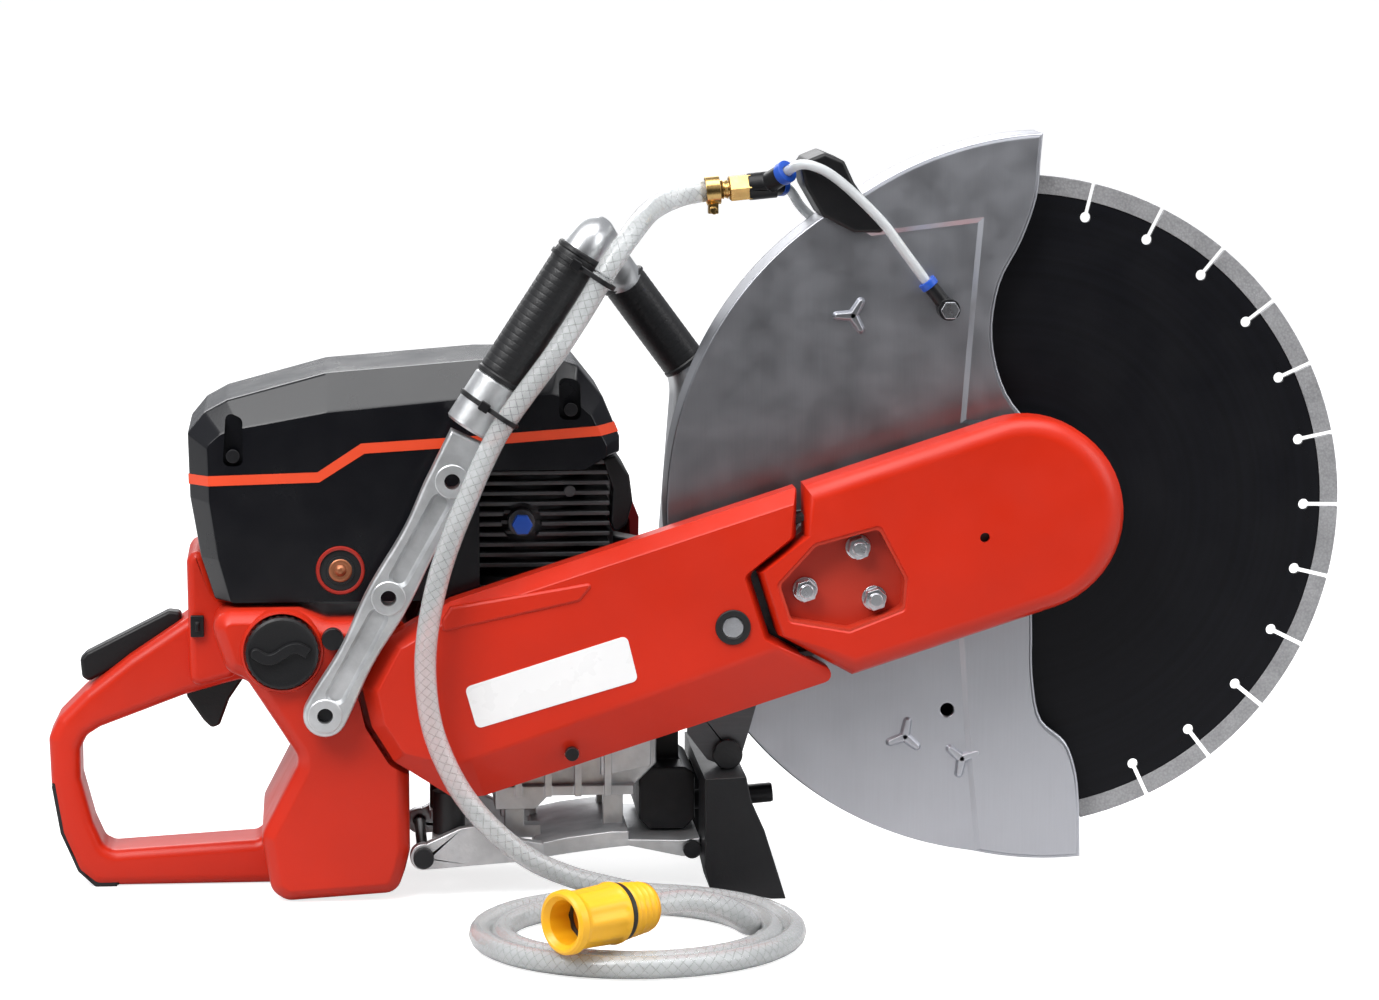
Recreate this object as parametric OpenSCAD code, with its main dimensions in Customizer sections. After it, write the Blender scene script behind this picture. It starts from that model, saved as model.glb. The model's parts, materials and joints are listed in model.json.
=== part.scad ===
// Rescue saw: a petrol power cutter with a 400 mm slotted blade, a tilting
// blade guard, a wet-cutting kit and its garden-hose coupling.
// Millimetres. +X points forward along the cutting arm, +Z is up, and -Y is
// the operator's right side, where the belt cover is. The floor is z = 0.

/* [Blade] */
// Outside diameter of the blade over its segments
blade_d = 400; // [300:10:420]
// Number of segments around the rim
segment_count = 28; // [16:1:36]
// Radial height of one segment
segment_h = 11; // [6:0.5:14]
// Thickness of the steel core
core_t = 3.2; // [2.4:0.1:4.5]
// Bore that fits the spindle
arbor_d = 25.4; // [20:0.1:30]

/* [Arm] */
// Blade axis, forward of the origin
blade_x = 193; // [180:1:200]
// Blade axis, above the floor
blade_z = 231; // [225:1:240]
// Crankshaft axis, behind the origin
drive_x = -112; // [-125:1:-105]
// Crankshaft axis, above the floor
drive_z = 133; // [128:1:138]
// Half width of the belt cover
cover_half = 59; // [54:1:62]

/* [Guard] */
// Outer radius of the guard around the blade
guard_r = 213; // [210:1:216]
// Wall thickness of the guard
guard_t = 3; // [2:0.5:4]

/* [Handles] */
// Diameter of the front handle tube
tube_d = 24; // [20:1:26]
// Diameter over the rubber grips
grip_d = 26.4; // [25:0.2:30]
// Width of the rear handle
rear_grip_w = 44; // [36:1:50]

/* [Water kit] */
// Outside diameter of the supply hose
hose_d = 13; // [11:0.5:14]
// Outside diameter of the thin water tubes
tube_od = 6; // [5:0.5:8]
// Centre-line radius of the outermost turn of the coil
coil_r = 97; // [90:1:105]

/* [Hidden] */
$fn = 48;
arm_angle = atan2(blade_z - drive_z, blade_x - drive_x);
arm_len = norm([blade_x - drive_x, blade_z - drive_z]);
blade_y = -32;
blade_r = blade_d / 2;
core_r = blade_r - segment_h;
arbor_r = arbor_d / 2;
spindle_r = 12;
boss_r = 30;
cover_y = -92;
drive_pulley_r = 26;
driven_pulley_r = 46;
run_gap = 0.05;
coil_x = -51;
coil_y = -195;
leg_base = [-121.7, -89, 316];
leg_tilt = 32.93;

// Belt cover seen from the side, along and across the line of the arm.
cover_rear = [[-22, 59], [-64, 50], [-88, 27], [-90, 2], [-84, -22], [-57, -55], [-40, -59]];
cover_split = [[194, 75], [194, 57], [185, 30], [152, 18], [152, -22], [187, -60], [187, -75]];
pocket = [[194, 24], [234, 22], [240, -13], [233, -30], [198, -32], [166, -15], [166, 8]];
nut_spots = [[219, 12.4], [181, -2], [219, -20.2]];

// Rear housing seen from the side.
loop_outer = [
    [-393, 92], [-392, 64], [-387, 33], [-377, 9], [-366, 0], [-250, 0], [-184, 4],
    [-179, 18], [-176, 30], [-176, 170], [-224, 170], [-240, 177], [-296, 177],
    [-301, 204], [-311, 198], [-311, 163], [-344, 141], [-371, 120], [-387, 104]
];
loop_inner = [
    [-374, 85], [-370, 93], [-362, 98], [-311, 117], [-274, 127], [-264, 112],
    [-243, 78], [-262, 32], [-268, 27], [-355, 22], [-361, 25], [-367, 39], [-374, 66]
];
tank_side = [
    [-296, 177], [-240, 177], [-224, 170], [-176, 170], [-176, 30], [-179, 18],
    [-184, 4], [-250, 0], [-258, 6], [-265, 40], [-241, 86], [-273, 136], [-284, 140]
];
skid_outline = [
    [-392, 64], [-387, 33], [-377, 9], [-366, 0], [-352, 0],
    [-352, 2.5], [-365, 2.5], [-374, 11], [-384, 34], [-389, 64]
];

// Filter cover seen from the side: the full outline and the flat near face.
hood_outline = [
    [-306, 281], [-305, 242], [-299, 206], [-291, 180], [-133, 180],
    [-133, 323], [-223, 316], [-283, 300], [-296, 293]
];
hood_face = [
    [-294, 274], [-293, 240], [-288, 206], [-281, 180], [-133, 180],
    [-133, 301], [-225, 293], [-275, 284]
];
nose_outline = [
    [-133, 258], [-67, 258], [-48, 267], [-48, 276], [-58, 300],
    [-73, 319], [-84, 323], [-133, 323]
];
nose_face = [[-133, 258], [-70, 258], [-57, 268], [-66, 290], [-76, 300], [-90, 303], [-133, 301]];
stripe_top = [[-307, 256], [-229, 258], [-203, 275], [-133, 279], [-50, 285]];
stripe_low = [[-50, 279], [-133, 273], [-201, 269], [-228, 252], [-307, 250]];

// Supply hose: down the front handle leg, past the cover, to the coil.
hose_points = [
    [-61, -102, 377], [-68, -102, 365], [-76, -102, 352], [-90, -103, 331], [-108, -103, 307],
    [-122, -103, 287], [-132, -105, 268], [-141, -107, 248], [-151, -109, 224],
    [-159, -110, 200], [-165, -111, 172], [-167, -111, 145], [-164, -112, 116],
    [-156, -113, 92], [-144, -114, 70], [-127, -115, 50], [-105, -113, 32],
    [-82, -106, 20], [-62, -100, 13], [-44, -98, 8]
];
tail_points = [
    [16, -180.4, 7], [17.2, -190, 8.5], [15.5, -200, 12], [11, -209, 17], [3, -217, 23.5],
    [-9, -224, 29], [-24, -231.5, 32.6], [-45, -246, 33]
];
upper_points = [
    [-60.6, -102, 377.7], [-53.6, -99.9, 388.6], [-46.5, -93.6, 397.6], [-40.7, -84.3, 403.8],
    [-36.2, -72.7, 407.6], [-32.4, -60.5, 410.1], [-27.3, -49.1, 412.8], [-19.2, -39.9, 416.3],
    [-8.4, -34, 419.7], [4, -32, 421.8], [13.5, -32, 422.7]
];
// Water fittings on the guard: the tee, its two branches and the two elbows.
barb_way = [0.9954, 0, 0.096];
near_way = [0.568, -0.694, 0.442];
far_way = [0.684, 0.725, -0.081];
near_elbow = [149, -57.3, 352];
far_elbow = [149, -6.6, 352];
near_entry = [-0.622, 0, 0.783];
far_entry = [-0.774, 0, 0.633];
tee = [2, -32, 421.6] + 39.2 * barb_way;
connector_mouth = [-97, -286, 33];
connector_turn = 38;
handle_path = [[-134, -89, 297], [-66, -89, 402], [-42, 92, 366], [6, 97, 300], [-6, 97, 150], [-30, 66, 84], [-30, 44, 84]];

// ---------- shared shapes ----------

// Extrudes an outline drawn in x and z between two y planes.
module slab(y0, y1) {
    translate([0, y1, 0])
        rotate([90, 0, 0])
            linear_extrude(height = y1 - y0)
                children();
}

// Places flat shapes in the line of the cutting arm.
module on_arm() {
    translate([drive_x, 0, drive_z])
        rotate([0, -arm_angle, 0])
            children();
}

module rod_y(x, z, r, y0, y1) {
    translate([x, y1, z])
        rotate([90, 0, 0])
            cylinder(r = r, h = y1 - y0);
}

module hex_y(x, z, across, y0, y1) {
    translate([x, y1, z])
        rotate([90, 0, 0])
            cylinder(d = across / cos(30), h = y1 - y0, $fn = 6);
}

module ring_y(x, z, r_out, r_in, y0, y1) {
    difference() {
        rod_y(x, z, r_out, y0, y1);
        rod_y(x, z, r_in, y0 - 1, y1 + 1);
    }
}

// A round bar from one point to another.
module bar(p, q, r) {
    v = q - p;
    translate(p)
        rotate([0, acos(v[2] / norm(v)), atan2(v[1], v[0])])
            cylinder(r = r, h = norm(v));
}

module block(a, b) {
    translate(a)
        cube(b - a);
}

// A flat strip with parallel sides between two outline points.
module strip(p, q, half) {
    v = (q - p) / norm(q - p);
    n = [-v[1], v[0]] * half;
    polygon([p + n, p - n, q - n, q + n]);
}

// ---------- swept round cords ----------

function mid(a, b, c, d, t) =
    0.5 * (2 * b + (c - a) * t + (2 * a - 5 * b + 4 * c - d) * t * t
    + (3 * b - a - 3 * c + d) * t * t * t);
function smooth_path(p, steps) = [
    for (i = [0 : len(p) - 2], k = [0 : steps - 1])
        mid(p[max(i - 1, 0)], p[i], p[i + 1], p[min(i + 2, len(p) - 1)], k / steps),
    p[len(p) - 1]
];
function heading(p, i) =
    let (v = p[min(i + 1, len(p) - 1)] - p[max(i - 1, 0)]) v / norm(v);
function side_of(v) =
    let (s = abs(v[1]) < 0.9 ? cross(v, [0, 1, 0]) : cross(v, [1, 0, 0])) s / norm(s);
function ring_at(c, v, r, n) =
    let (a = side_of(v), b = cross(v, a))
    [for (k = [0 : n - 1]) c + r * (a * cos(360 * k / n) + b * sin(360 * k / n))];

module cord(points, d, steps, n) {
    path = smooth_path(points, steps);
    last = len(path) - 1;
    rings = [for (i = [0 : last]) each ring_at(path[i], heading(path, i), d / 2, n)];
    faces = [
        [for (k = [0 : n - 1]) n - 1 - k],
        [for (k = [0 : n - 1]) last * n + k],
        for (i = [0 : last - 1], k = [0 : n - 1])
            [i * n + k, i * n + (k + 1) % n, (i + 1) * n + (k + 1) % n, (i + 1) * n + k]
    ];
    polyhedron(rings, faces, convexity = 6);
}

// ---------- rear housing and controls ----------

module rear_housing() {
    color([0.84, 0.2, 0.1])
    difference() {
        union() {
            difference() {
                slab(-rear_grip_w / 2, rear_grip_w / 2)
                    polygon(loop_outer);
                slab(-30, 30)
                    polygon(loop_inner);
            }
            slab(-70, 56)
                polygon(tank_side);
            slab(-74, 59)
                offset(delta = -4)
                    polygon(tank_side);
            slab(-78, -73)
                offset(delta = -8)
                    polygon(tank_side);
            // shoulder that carries the stop switch
            slab(-36, 34)
                polygon([[-307, 176], [-280, 177], [-272, 140], [-282, 130], [-307, 124]]);
            // raised corner behind the handle bracket
            slab(-78, -66)
                polygon([[-206, 160], [-206, 172], [-180, 187], [-176, 187], [-176, 160]]);
            rod_y(-251, 153, 24, -80, -70);
        }
        // clearance around the belt cover
        slab(-100, -58)
            offset(delta = 4)
                translate([drive_x, drive_z])
                    rotate(arm_angle)
                        polygon([each cover_rear, [60, -59], [60, 59]]);
        // clearance around the starter housing
        rod_y(drive_x, drive_z, 81.5, 38, 62);
        slab(-20.2, 20.2)
            polygon(skid_outline);
        // trigger slot and its pivot
        slab(-7, 7)
            polygon([[-320, 108], [-320, 128], [-296, 142], [-272, 146], [-262, 132], [-266, 112], [-290, 104]]);
        rod_y(-279, 136, 2.5 + run_gap, -11, 11);
        // lockout slot and its pivot
        slab(-8, 8)
            polygon([[-380, 118], [-364, 104], [-318, 142], [-308, 150], [-308, 178], [-330, 170]]);
        rod_y(-318, 158, 2 + run_gap, -11, 11);
        // filler neck
        rod_y(-251, 153, 22.4, -81, -74);
        rod_y(-251, 153, 14 + run_gap, -75, -46);
        // choke rod guide
        rod_y(-221, 161, 3 + run_gap, -80, -30);
        // fuel space, reached from the filler neck
        slab(-47, 34)
            polygon([[-232, 56], [-190, 56], [-190, 148], [-262, 148], [-258, 134], [-226, 88]]);
        // stop switch slot
        block([-306, -37, 159], [-295, -33, 166]);
        // screw threads for the handle bracket
        rod_y(-226, 117, 3, -79, -50);
    }
}

module rear_skid() {
    color([0.09, 0.09, 0.1])
    slab(-20, 20)
        polygon(skid_outline);
}

module fuel_cap() {
    color([0.08, 0.08, 0.09]) {
        difference() {
            rod_y(-251, 153, 22, -88, -74.3);
            block([-270, -90, 147], [-232, -86, 151]);
            block([-270, -90, 155], [-232, -86, 159]);
        }
        rod_y(-251, 153, 14, -75, -48);
    }
}

module throttle_trigger() {
    color([0.09, 0.09, 0.1]) {
        slab(-6, 6)
            polygon([
                [-310, 114], [-309, 124], [-290, 132], [-284, 139], [-275, 139],
                [-273, 128], [-284, 112], [-290, 96], [-295, 94], [-300, 99]
            ]);
        rod_y(-279, 136, 2.5, -10.5, 10.5);
    }
}

module throttle_lockout() {
    color([0.09, 0.09, 0.1]) {
        slab(-7, 7)
            polygon([
                [-374, 138], [-373, 127], [-369, 124], [-345, 136], [-318, 153],
                [-313, 155], [-312, 166], [-320, 167], [-370, 142]
            ]);
        rod_y(-318, 158, 2, -10.5, 10.5);
    }
}

module stop_switch() {
    color([0.07, 0.07, 0.08]) {
        block([-304.5, -36.3, 159.5], [-299.7, -33.5, 165.5]);
        block([-306, -40, 156], [-298, -36.3, 169]);
        block([-303, -43, 160], [-301, -40, 165]);
    }
}

module choke_knob() {
    color([0.07, 0.07, 0.08]) {
        rod_y(-221, 161, 6.5, -86, -79);
        rod_y(-221, 161, 3, -79, -36);
    }
}

// ---------- engine ----------

module hood_shape(outline, face, reach) {
    hull() {
        slab(-46 - reach, 46 + reach)
            polygon(outline);
        slab(-62, 62)
            polygon(face);
    }
}

module filter_cover() {
    color([0.16, 0.17, 0.19])
    difference() {
        union() {
            hood_shape(hood_outline, hood_face, 0);
            hood_shape(nose_outline, nose_face, 0);
        }
        // hollow inside, open below and towards the cylinder
        hull() {
            slab(-44, 44)
                polygon([[-302, 280], [-301, 242], [-287, 170], [-125, 170], [-125, 319], [-223, 312], [-283, 296]]);
            slab(-59, 59)
                polygon([[-290, 272], [-289, 240], [-277, 170], [-125, 170], [-125, 297], [-225, 289]]);
        }
        hull() {
            slab(-44, 44)
                polygon([[-134, 250], [-53, 250], [-53, 276], [-62, 299], [-84, 319], [-134, 319]]);
            slab(-59, 59)
                polygon([[-134, 250], [-62, 250], [-62, 270], [-78, 296], [-134, 297]]);
        }
        // near side screw pockets
        block([-286, -70, 262], [-273, -60.5, 292]);
        block([-84, -70, 288], [-72, -60.5, 313]);
        rod_y(-279, 268, 2.6, -62, -48);
        rod_y(-78, 294, 2.6, -62, -48);
        rod_y(-216, 199, 8, -63, -50);
        // room for the starter housing
        block([-178, 38, 170], [-125, 70, 234]);
    }
}

module cover_trim() {
    color([0.86, 0.24, 0.1]) {
        intersection() {
            slab(-80, -62)
                polygon([each stripe_top, each stripe_low]);
            slab(-63.2, -62)
                polygon([[-296, 240], [-294, 274], [-275, 284], [-225, 293], [-133, 301], [-90, 303], [-58, 290], [-58, 268], [-133, 262]]);
        }
        ring_y(-216, 199, 13, 10, -64, -62);
    }
}

module primer_bulb() {
    color([0.62, 0.36, 0.2]) {
        rod_y(-216, 199, 7.8, -62, -52);
        rod_y(-216, 199, 5, -65, -62);
    }
}

module filter_element() {
    color([0.2, 0.2, 0.18])
    for (i = [0 : 14])
        block([-284 + i * 6, -50, 200], [-278 + i * 6, 50, (i % 2 == 0) ? 262 : 256]);
}

module carburettor() {
    color([0.62, 0.63, 0.64]) {
        block([-186, -22, 196], [-150, 22, 238]);
        translate([-186, 0, 217])
            rotate([0, -90, 0])
                cylinder(r = 17, h = 8);
        translate([-146.5, 0, 217])
            rotate([0, -90, 0])
                cylinder(r = 13, h = 3.5);
    }
}

module cylinder_fins() {
    for (i = [0 : 12])
        block([-146, -44, 197 + i * 6.2], [-54, 38, 199.4 + i * 6.2]);
}

module cylinder_body() {
    color([0.7, 0.71, 0.72])
    difference() {
        union() {
            cylinder_fins();
            translate([-100, 0, 184])
                cylinder(r = 34, h = 91);
            translate([-100, 0, 184])
                cylinder(r = 42, h = 6);
            rod_y(-107, 224, 8, -45, -20);
            rod_y(-78, 243, 3.4, -46, -20);
            block([-72, -14, 190], [-50, 14, 214]);
        }
        translate([-100, 0, 183])
            cylinder(r = 25, h = 80);
        rod_y(-107, 224, 3 + run_gap, -46, -20);
        translate([-100, 0, 262])
            cylinder(r = 5, h = 20);
        // relief in the fins around the valve
        ring_y(-107, 224, 12, 8, -45, -34);
    }
}

module decompression_valve() {
    color([0.12, 0.3, 0.75]) {
        hex_y(-107, 224, 11, -56, -49.5);
        rod_y(-107, 224, 3, -49.5, -32);
    }
}

module spark_plug() {
    color([0.85, 0.85, 0.83]) {
        translate([-100, 0, 262])
            cylinder(r = 5, h = 13);
        translate([-100, 0, 275])
            cylinder(d = 19 / cos(30), h = 8, $fn = 6);
        translate([-100, 0, 283])
            cylinder(r = 7, h = 22);
    }
}

module muffler() {
    color([0.1, 0.1, 0.1]) {
        slab(-38, 44)
            polygon([[-36, 40], [-30, 34], [-8, 34], [-2, 40], [-2, 68], [-8, 72], [-30, 72], [-36, 66]]);
        difference() {
            bar([-3, -20, 48], [47, -20, 52], 6);
            bar([1, -20, 48.3], [48, -20, 52.1], 4.6);
        }
        // exhaust duct down from the cylinder
        slab(-12, 12)
            polygon([[-50, 193], [-50, 211], [-22, 205], [-10, 190], [-10, 70], [-24, 70], [-24, 184], [-34, 193]]);
    }
}

module crankcase() {
    color([0.72, 0.73, 0.74])
    difference() {
        union() {
            slab(-45, 40)
                polygon([
                    [-166, 76], [-150, 62], [-40, 62], [-26, 76], [-26, 176],
                    [-40, 184], [-158, 184], [-166, 176]
                ]);
            // sump ribs and lower lugs
            slab(-52, 36)
                polygon([[-124, 62], [-124, 50], [-100, 50], [-92, 58], [-40, 58], [-40, 64], [-124, 64]]);
            for (i = [0 : 3])
                block([-112 + i * 18, -56, 58], [-108 + i * 18, -45, 90]);
            on_arm()
                for (t = [-25, 25])
                    rod_y(62, t, 9, -53, -44);
            slab(-53, -45)
                polygon([[-60, 70], [-30, 76], [-30, 96], [-60, 92]]);
            rod_y(drive_x, drive_z, 26, -46, -44);
            rod_y(-30, 84, 11, 39, 44);
        }
        on_arm()
            for (t = [-25, 25])
                rod_y(62, t, 4.1, -54, -46);
        // crank chamber and main bearing bores
        rod_y(drive_x, drive_z, 42, -20, 20);
        rod_y(drive_x, drive_z, 10 + run_gap, -60, 60);
        translate([-100, 0, 150])
            cylinder(r = 25, h = 40);
    }
}

module engine_cradle() {
    color([0.74, 0.75, 0.76])
    difference() {
        union() {
            // rear lugs bolted to the housing
            for (y = [-68, 40])
                slab(y, y + 8) {
                    translate([-168, 25])
                        circle(r = 8);
                    polygon([[-168, 17], [-166, 33], [-146, 42], [-134, 44], [-118, 36], [-96, 32], [-96, 22], [-140, 19]]);
                }
            // long bottom bar, arched in the middle
            slab(-64, 46)
                polygon([
                    [-100, 22], [-100, 31], [-80, 35], [-55, 38], [-44, 38],
                    [-44, 29], [-55, 28], [-80, 25]
                ]);
            slab(-64, 46)
                polygon([[-44, 29], [-44, 33], [-12, 32], [-1, 33], [-1, 22], [-12, 22]]);
            for (y = [-40, 24]) {
                block([-118, y, 33], [-106, y + 12, 50]);
                block([-58, y, 33], [-46, y + 12, 58]);
                block([-118, y, 30], [-96, y + 12, 38]);
            }
            // shelves under the rubber mounts
            block([-162, -61, 30], [-142, -39, 36]);
            block([-162, 19, 30], [-142, 41, 36]);
        }
        rod_y(-168, 25, 3.5, -70, 60);
        translate([-6, 0, 0])
            rod_y(0, 27, 3, -70, 60);
    }
}

module support_foot() {
    color([0.09, 0.09, 0.1])
    difference() {
        slab(-88, 68)
            polygon([
                [0, 74], [0, 20], [3, 7], [40, 0], [49, 0], [36, 42],
                [28, 60], [25, 75]
            ]);
        // arch between the two legs
        slab(-42, 32)
            polygon([[-2, 64], [-2, -2], [52, -2], [52, 64]]);
        // lightening pockets, open at the front
        for (y = [-82, 38])
            slab(y, y + 24)
                polygon([[20, 56], [24, 20], [60, 10], [60, 56]]);
    }
}

module rubber_mounts() {
    color([0.1, 0.1, 0.11]) {
        rod_y(16, 84, 9, -64, -58);
        rod_y(16, 84, 5.9, -58.5, -52.5);
        rod_y(16, 84, 9, -53, -44);
        translate([-152, -49, 36])
            cylinder(r = 9.8, h = 26);
        translate([-152, 29, 36])
            cylinder(r = 9.8, h = 26);
        on_arm()
            ring_y(132.5, -7.5, 10.5, 6.5, -93.5, -88.9);
    }
}

module starter_housing() {
    color([0.55, 0.09, 0.06])
    difference() {
        union() {
            rod_y(drive_x, drive_z, 80, 40, 90);
            rod_y(drive_x, drive_z, 66, 89, 96);
            slab(47, 84)
                polygon([
                    [-150, 130], [-42, 130], [-31, 150], [-30, 214],
                    [-36, 229], [-130, 232], [-160, 218]
                ]);
        }
        // room for the fan wheel and the rope drum
        rod_y(drive_x, drive_z, 74, 39, 70);
        rod_y(drive_x, drive_z, 60, 69, 92);
        slab(46, 80)
            polygon([[-146, 134], [-46, 134], [-36, 150], [-36, 212], [-42, 222], [-130, 226], [-154, 214]]);
        // rope guide and air slots
        translate([-150, 81, 120])
            cylinder(r = 2.3, h = 120);
        for (a = [0 : 30 : 330])
            rotate_about_drive(a)
                block([24, 88, -3], [50, 98, 3]);
    }
}

module rotate_about_drive(a) {
    translate([drive_x, 0, drive_z])
        rotate([0, a, 0])
            children();
}

module starter_grip() {
    color([0.08, 0.08, 0.09]) {
        translate([-150, 81, 158])
            cylinder(r = 1.9, h = 76);
        translate([-150, 81, 234])
            cylinder(r1 = 6, r2 = 8, h = 10);
        translate([-150, 98, 248])
            rotate([90, 0, 0])
                cylinder(r = 7, h = 34);
    }
}

module crankshaft() {
    color([0.6, 0.61, 0.63]) {
        rod_y(drive_x, drive_z, 10, -86, -16);
        rod_y(drive_x, drive_z, 10, 16, 72);
        for (y = [-18, 8])
            rod_y(drive_x, drive_z, 38, y, y + 10);
        rod_y(drive_x, drive_z + 26, 8, -8.5, 8.5);
    }
}

module flywheel() {
    color([0.66, 0.67, 0.68])
    difference() {
        union() {
            rod_y(drive_x, drive_z, 60, 44, 49);
            rod_y(drive_x, drive_z, 20, 44, 62);
            for (a = [0 : 24 : 336])
                rotate_about_drive(a)
                    block([26, 48, -1.2], [59, 64, 1.2]);
        }
        rod_y(drive_x, drive_z, 10, 40, 70);
    }
}

module clutch_hub() {
    color([0.45, 0.44, 0.42])
    difference() {
        rod_y(drive_x, drive_z, 33, -62, -50);
        rod_y(drive_x, drive_z, 10, -64, -48);
        for (a = [30, 150, 270])
            rotate_about_drive(a)
                block([14, -64, -1.5], [36, -48, 1.5]);
    }
}

module clutch_drum() {
    color([0.5, 0.51, 0.53])
    difference() {
        union() {
            rod_y(drive_x, drive_z, 38, -67, -48);
            rod_y(drive_x, drive_z, drive_pulley_r, -83, -67);
            rod_y(drive_x, drive_z, drive_pulley_r + 5, -84.5, -83);
            rod_y(drive_x, drive_z, drive_pulley_r + 5, -69, -67);
        }
        rod_y(drive_x, drive_z, 35, -64, -47);
        rod_y(drive_x, drive_z, 10 + run_gap, -86, -62);
    }
}

// ---------- front handle ----------

module bracket_outline() {
    strip([-226, 117], [-188, 187], 10);
    strip([-188, 187], [-150, 256], 10);
    strip([-150, 256], [-133, 290], 11);
    translate([-226, 117])
        circle(r = 12.5);
    translate([-188, 187])
        circle(r = 12);
    translate([-150, 256])
        circle(r = 12.5);
}

module handle_bracket() {
    color([0.78, 0.79, 0.8])
    difference() {
        union() {
            slab(-96, -82)
                bracket_outline();
            bar([-138, -89, 290.8], [-123, -89, 314.6], 13.4);
        }
        // recessed webs between the bosses
        slab(-97, -92.5) {
            strip([-219, 130], [-195, 174], 6.5);
            strip([-180, 201], [-158, 241], 6.5);
        }
        rod_y(-226, 117, 4.5, -97, -81);
        rod_y(-188, 187, 4.5, -97, -81);
        rod_y(-150, 256, 4.5, -97, -81);
        bar([-136, -89, 293.9], [-112, -89, 331], tube_d / 2 + run_gap);
    }
}

module handle_tube() {
    color([0.76, 0.77, 0.78])
    difference() {
        union() {
            for (i = [0 : len(handle_path) - 2])
                bar(handle_path[i], handle_path[i + 1], tube_d / 2);
            for (i = [1 : len(handle_path) - 2])
                translate(handle_path[i])
                    sphere(r = tube_d / 2);
        }
        // the end of the tube starts inside the bracket
        bar([-150, -89, 272.2], [-136, -89, 293.9], 20);
    }
}

module handle_grips() {
    color([0.07, 0.07, 0.08]) {
        difference() {
            bar([-122.5, -89, 314.8], [-73, -89, 391.2], grip_d / 2);
            bar([-130, -89, 303.2], [-66, -89, 402], tube_d / 2 + run_gap);
        }
        difference() {
            bar([-37, 92.5, 359], [3, 96.7, 304.1], grip_d / 2);
            bar([-42, 92, 366], [6, 97, 300], tube_d / 2 + run_gap);
        }
    }
}

module tie_band(along, x, y) {
    translate(leg_base)
        rotate([0, leg_tilt, 0])
            translate([0, 0, along])
                difference() {
                    linear_extrude(height = 3)
                        hull() {
                            circle(r = grip_d / 2 + 1.6);
                            translate([x, y])
                                circle(r = hose_d / 2 + 1.6);
                        }
                    translate([0, 0, -1])
                        linear_extrude(height = 5)
                            hull() {
                                circle(r = grip_d / 2 + 0.4);
                                translate([x, y])
                                    circle(r = hose_d / 2 + 0.4);
                            }
                }
}

module zip_ties() {
    color([0.05, 0.05, 0.06]) {
        tie_band(80, 19.5, -13);
        tie_band(-19, 15.5, -14);
    }
}

// ---------- cutting arm and covers ----------

module support_arm() {
    color([0.3, 0.31, 0.32])
    difference() {
        union() {
            on_arm()
                slab(-58, -53)
                    polygon([
                        [50, 36], [60, 40], [170, 44], [244, 36], [250, 26], [250, -26],
                        [244, -36], [170, -44], [60, -40], [50, -36]
                    ]);
            slab(-58, -53)
                polygon([[-8, 118], [40, 136], [30, 100], [24, 80], [14, 76], [4, 80], [-8, 96]]);
        }
        rod_y(16, 84, 6, -60, -50);
        on_arm() {
            for (p = nut_spots)
                rod_y(p[0], p[1], 4.2, -60, -50);
            for (t = [-25, 25])
                rod_y(62, t, 4.2, -60, -50);
            rod_y(132.5, -7.5, 3.2, -60, -50);
        }
    }
}

module bearing_arm() {
    color([0.42, 0.43, 0.45])
    difference() {
        union() {
            on_arm()
                slab(-65, -58) {
                    polygon([
                        [164, 12], [190, 34], [300, 42], [320, 42],
                        [320, -42], [300, -42], [190, -40], [164, -18]
                    ]);
                    translate([arm_len, 0])
                        circle(r = 44);
                }
            rod_y(blade_x, blade_z, boss_r, -66, -44);
            rod_y(blade_x, blade_z, 38, -58, -52.5);
        }
        rod_y(blade_x, blade_z, 21, -70, -40);
        on_arm()
            for (p = nut_spots)
                rod_y(p[0], p[1], 4.2, -70, -50);
    }
}

module arm_nuts() {
    color([0.75, 0.76, 0.78])
    on_arm() {
        for (p = nut_spots) {
            rod_y(p[0], p[1], 7.6, -78.5, -77);
            hex_y(p[0], p[1], 12, -86, -78.5);
            rod_y(p[0], p[1], 4, -89, -53);
        }
        rod_y(132.5, -7.5, 6.3, -93, -88.9);
        rod_y(132.5, -7.5, 3, -88.9, -53);
    }
}

module cover_side(inset) {
    offset(delta = -inset)
        hull() {
            polygon(cover_rear);
            translate([arm_len, 0])
                circle(r = cover_half);
        }
}

module cover_shell() {
    difference() {
        union() {
            slab(-86, -65.2)
                cover_side(0);
            slab(-89, -85)
                cover_side(2.5);
            slab(cover_y, -88)
                cover_side(6);
        }
        slab(-89, -60)
            cover_side(3.5);
    }
}

module rear_cover() {
    color([0.84, 0.2, 0.1])
    on_arm()
        difference() {
            cover_shell();
            slab(-100, -60)
                polygon([each cover_split, [420, -75], [420, 75]]);
            rod_y(132.5, -7.5, 10.6, -95, -85);
            rod_y(18, -50, 4.2, -95, -60);
        }
}

module front_cover() {
    color([0.84, 0.2, 0.1])
    on_arm()
        difference() {
            union() {
                intersection() {
                    cover_shell();
                    slab(-100, -60)
                        translate([5, 0])
                            polygon([each cover_split, [420, -75], [420, 75]]);
                }
                slab(-91, -74.5)
                    polygon(pocket);
            }
            slab(-95, -77)
                offset(delta = -2.5)
                    polygon(pocket);
            for (p = nut_spots)
                rod_y(p[0], p[1], 5, -80, -70);
            rod_y(292, -4, 3, -95, -85);
        }
}

module label_plate() {
    color([0.95, 0.95, 0.95])
    on_arm()
        slab(-92.5, -92)
            polygon([[-28, 9], [-30, 7], [-31, -15], [-29, -17], [67, -20], [69, -18], [71, 6], [69, 8]]);
}

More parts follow.
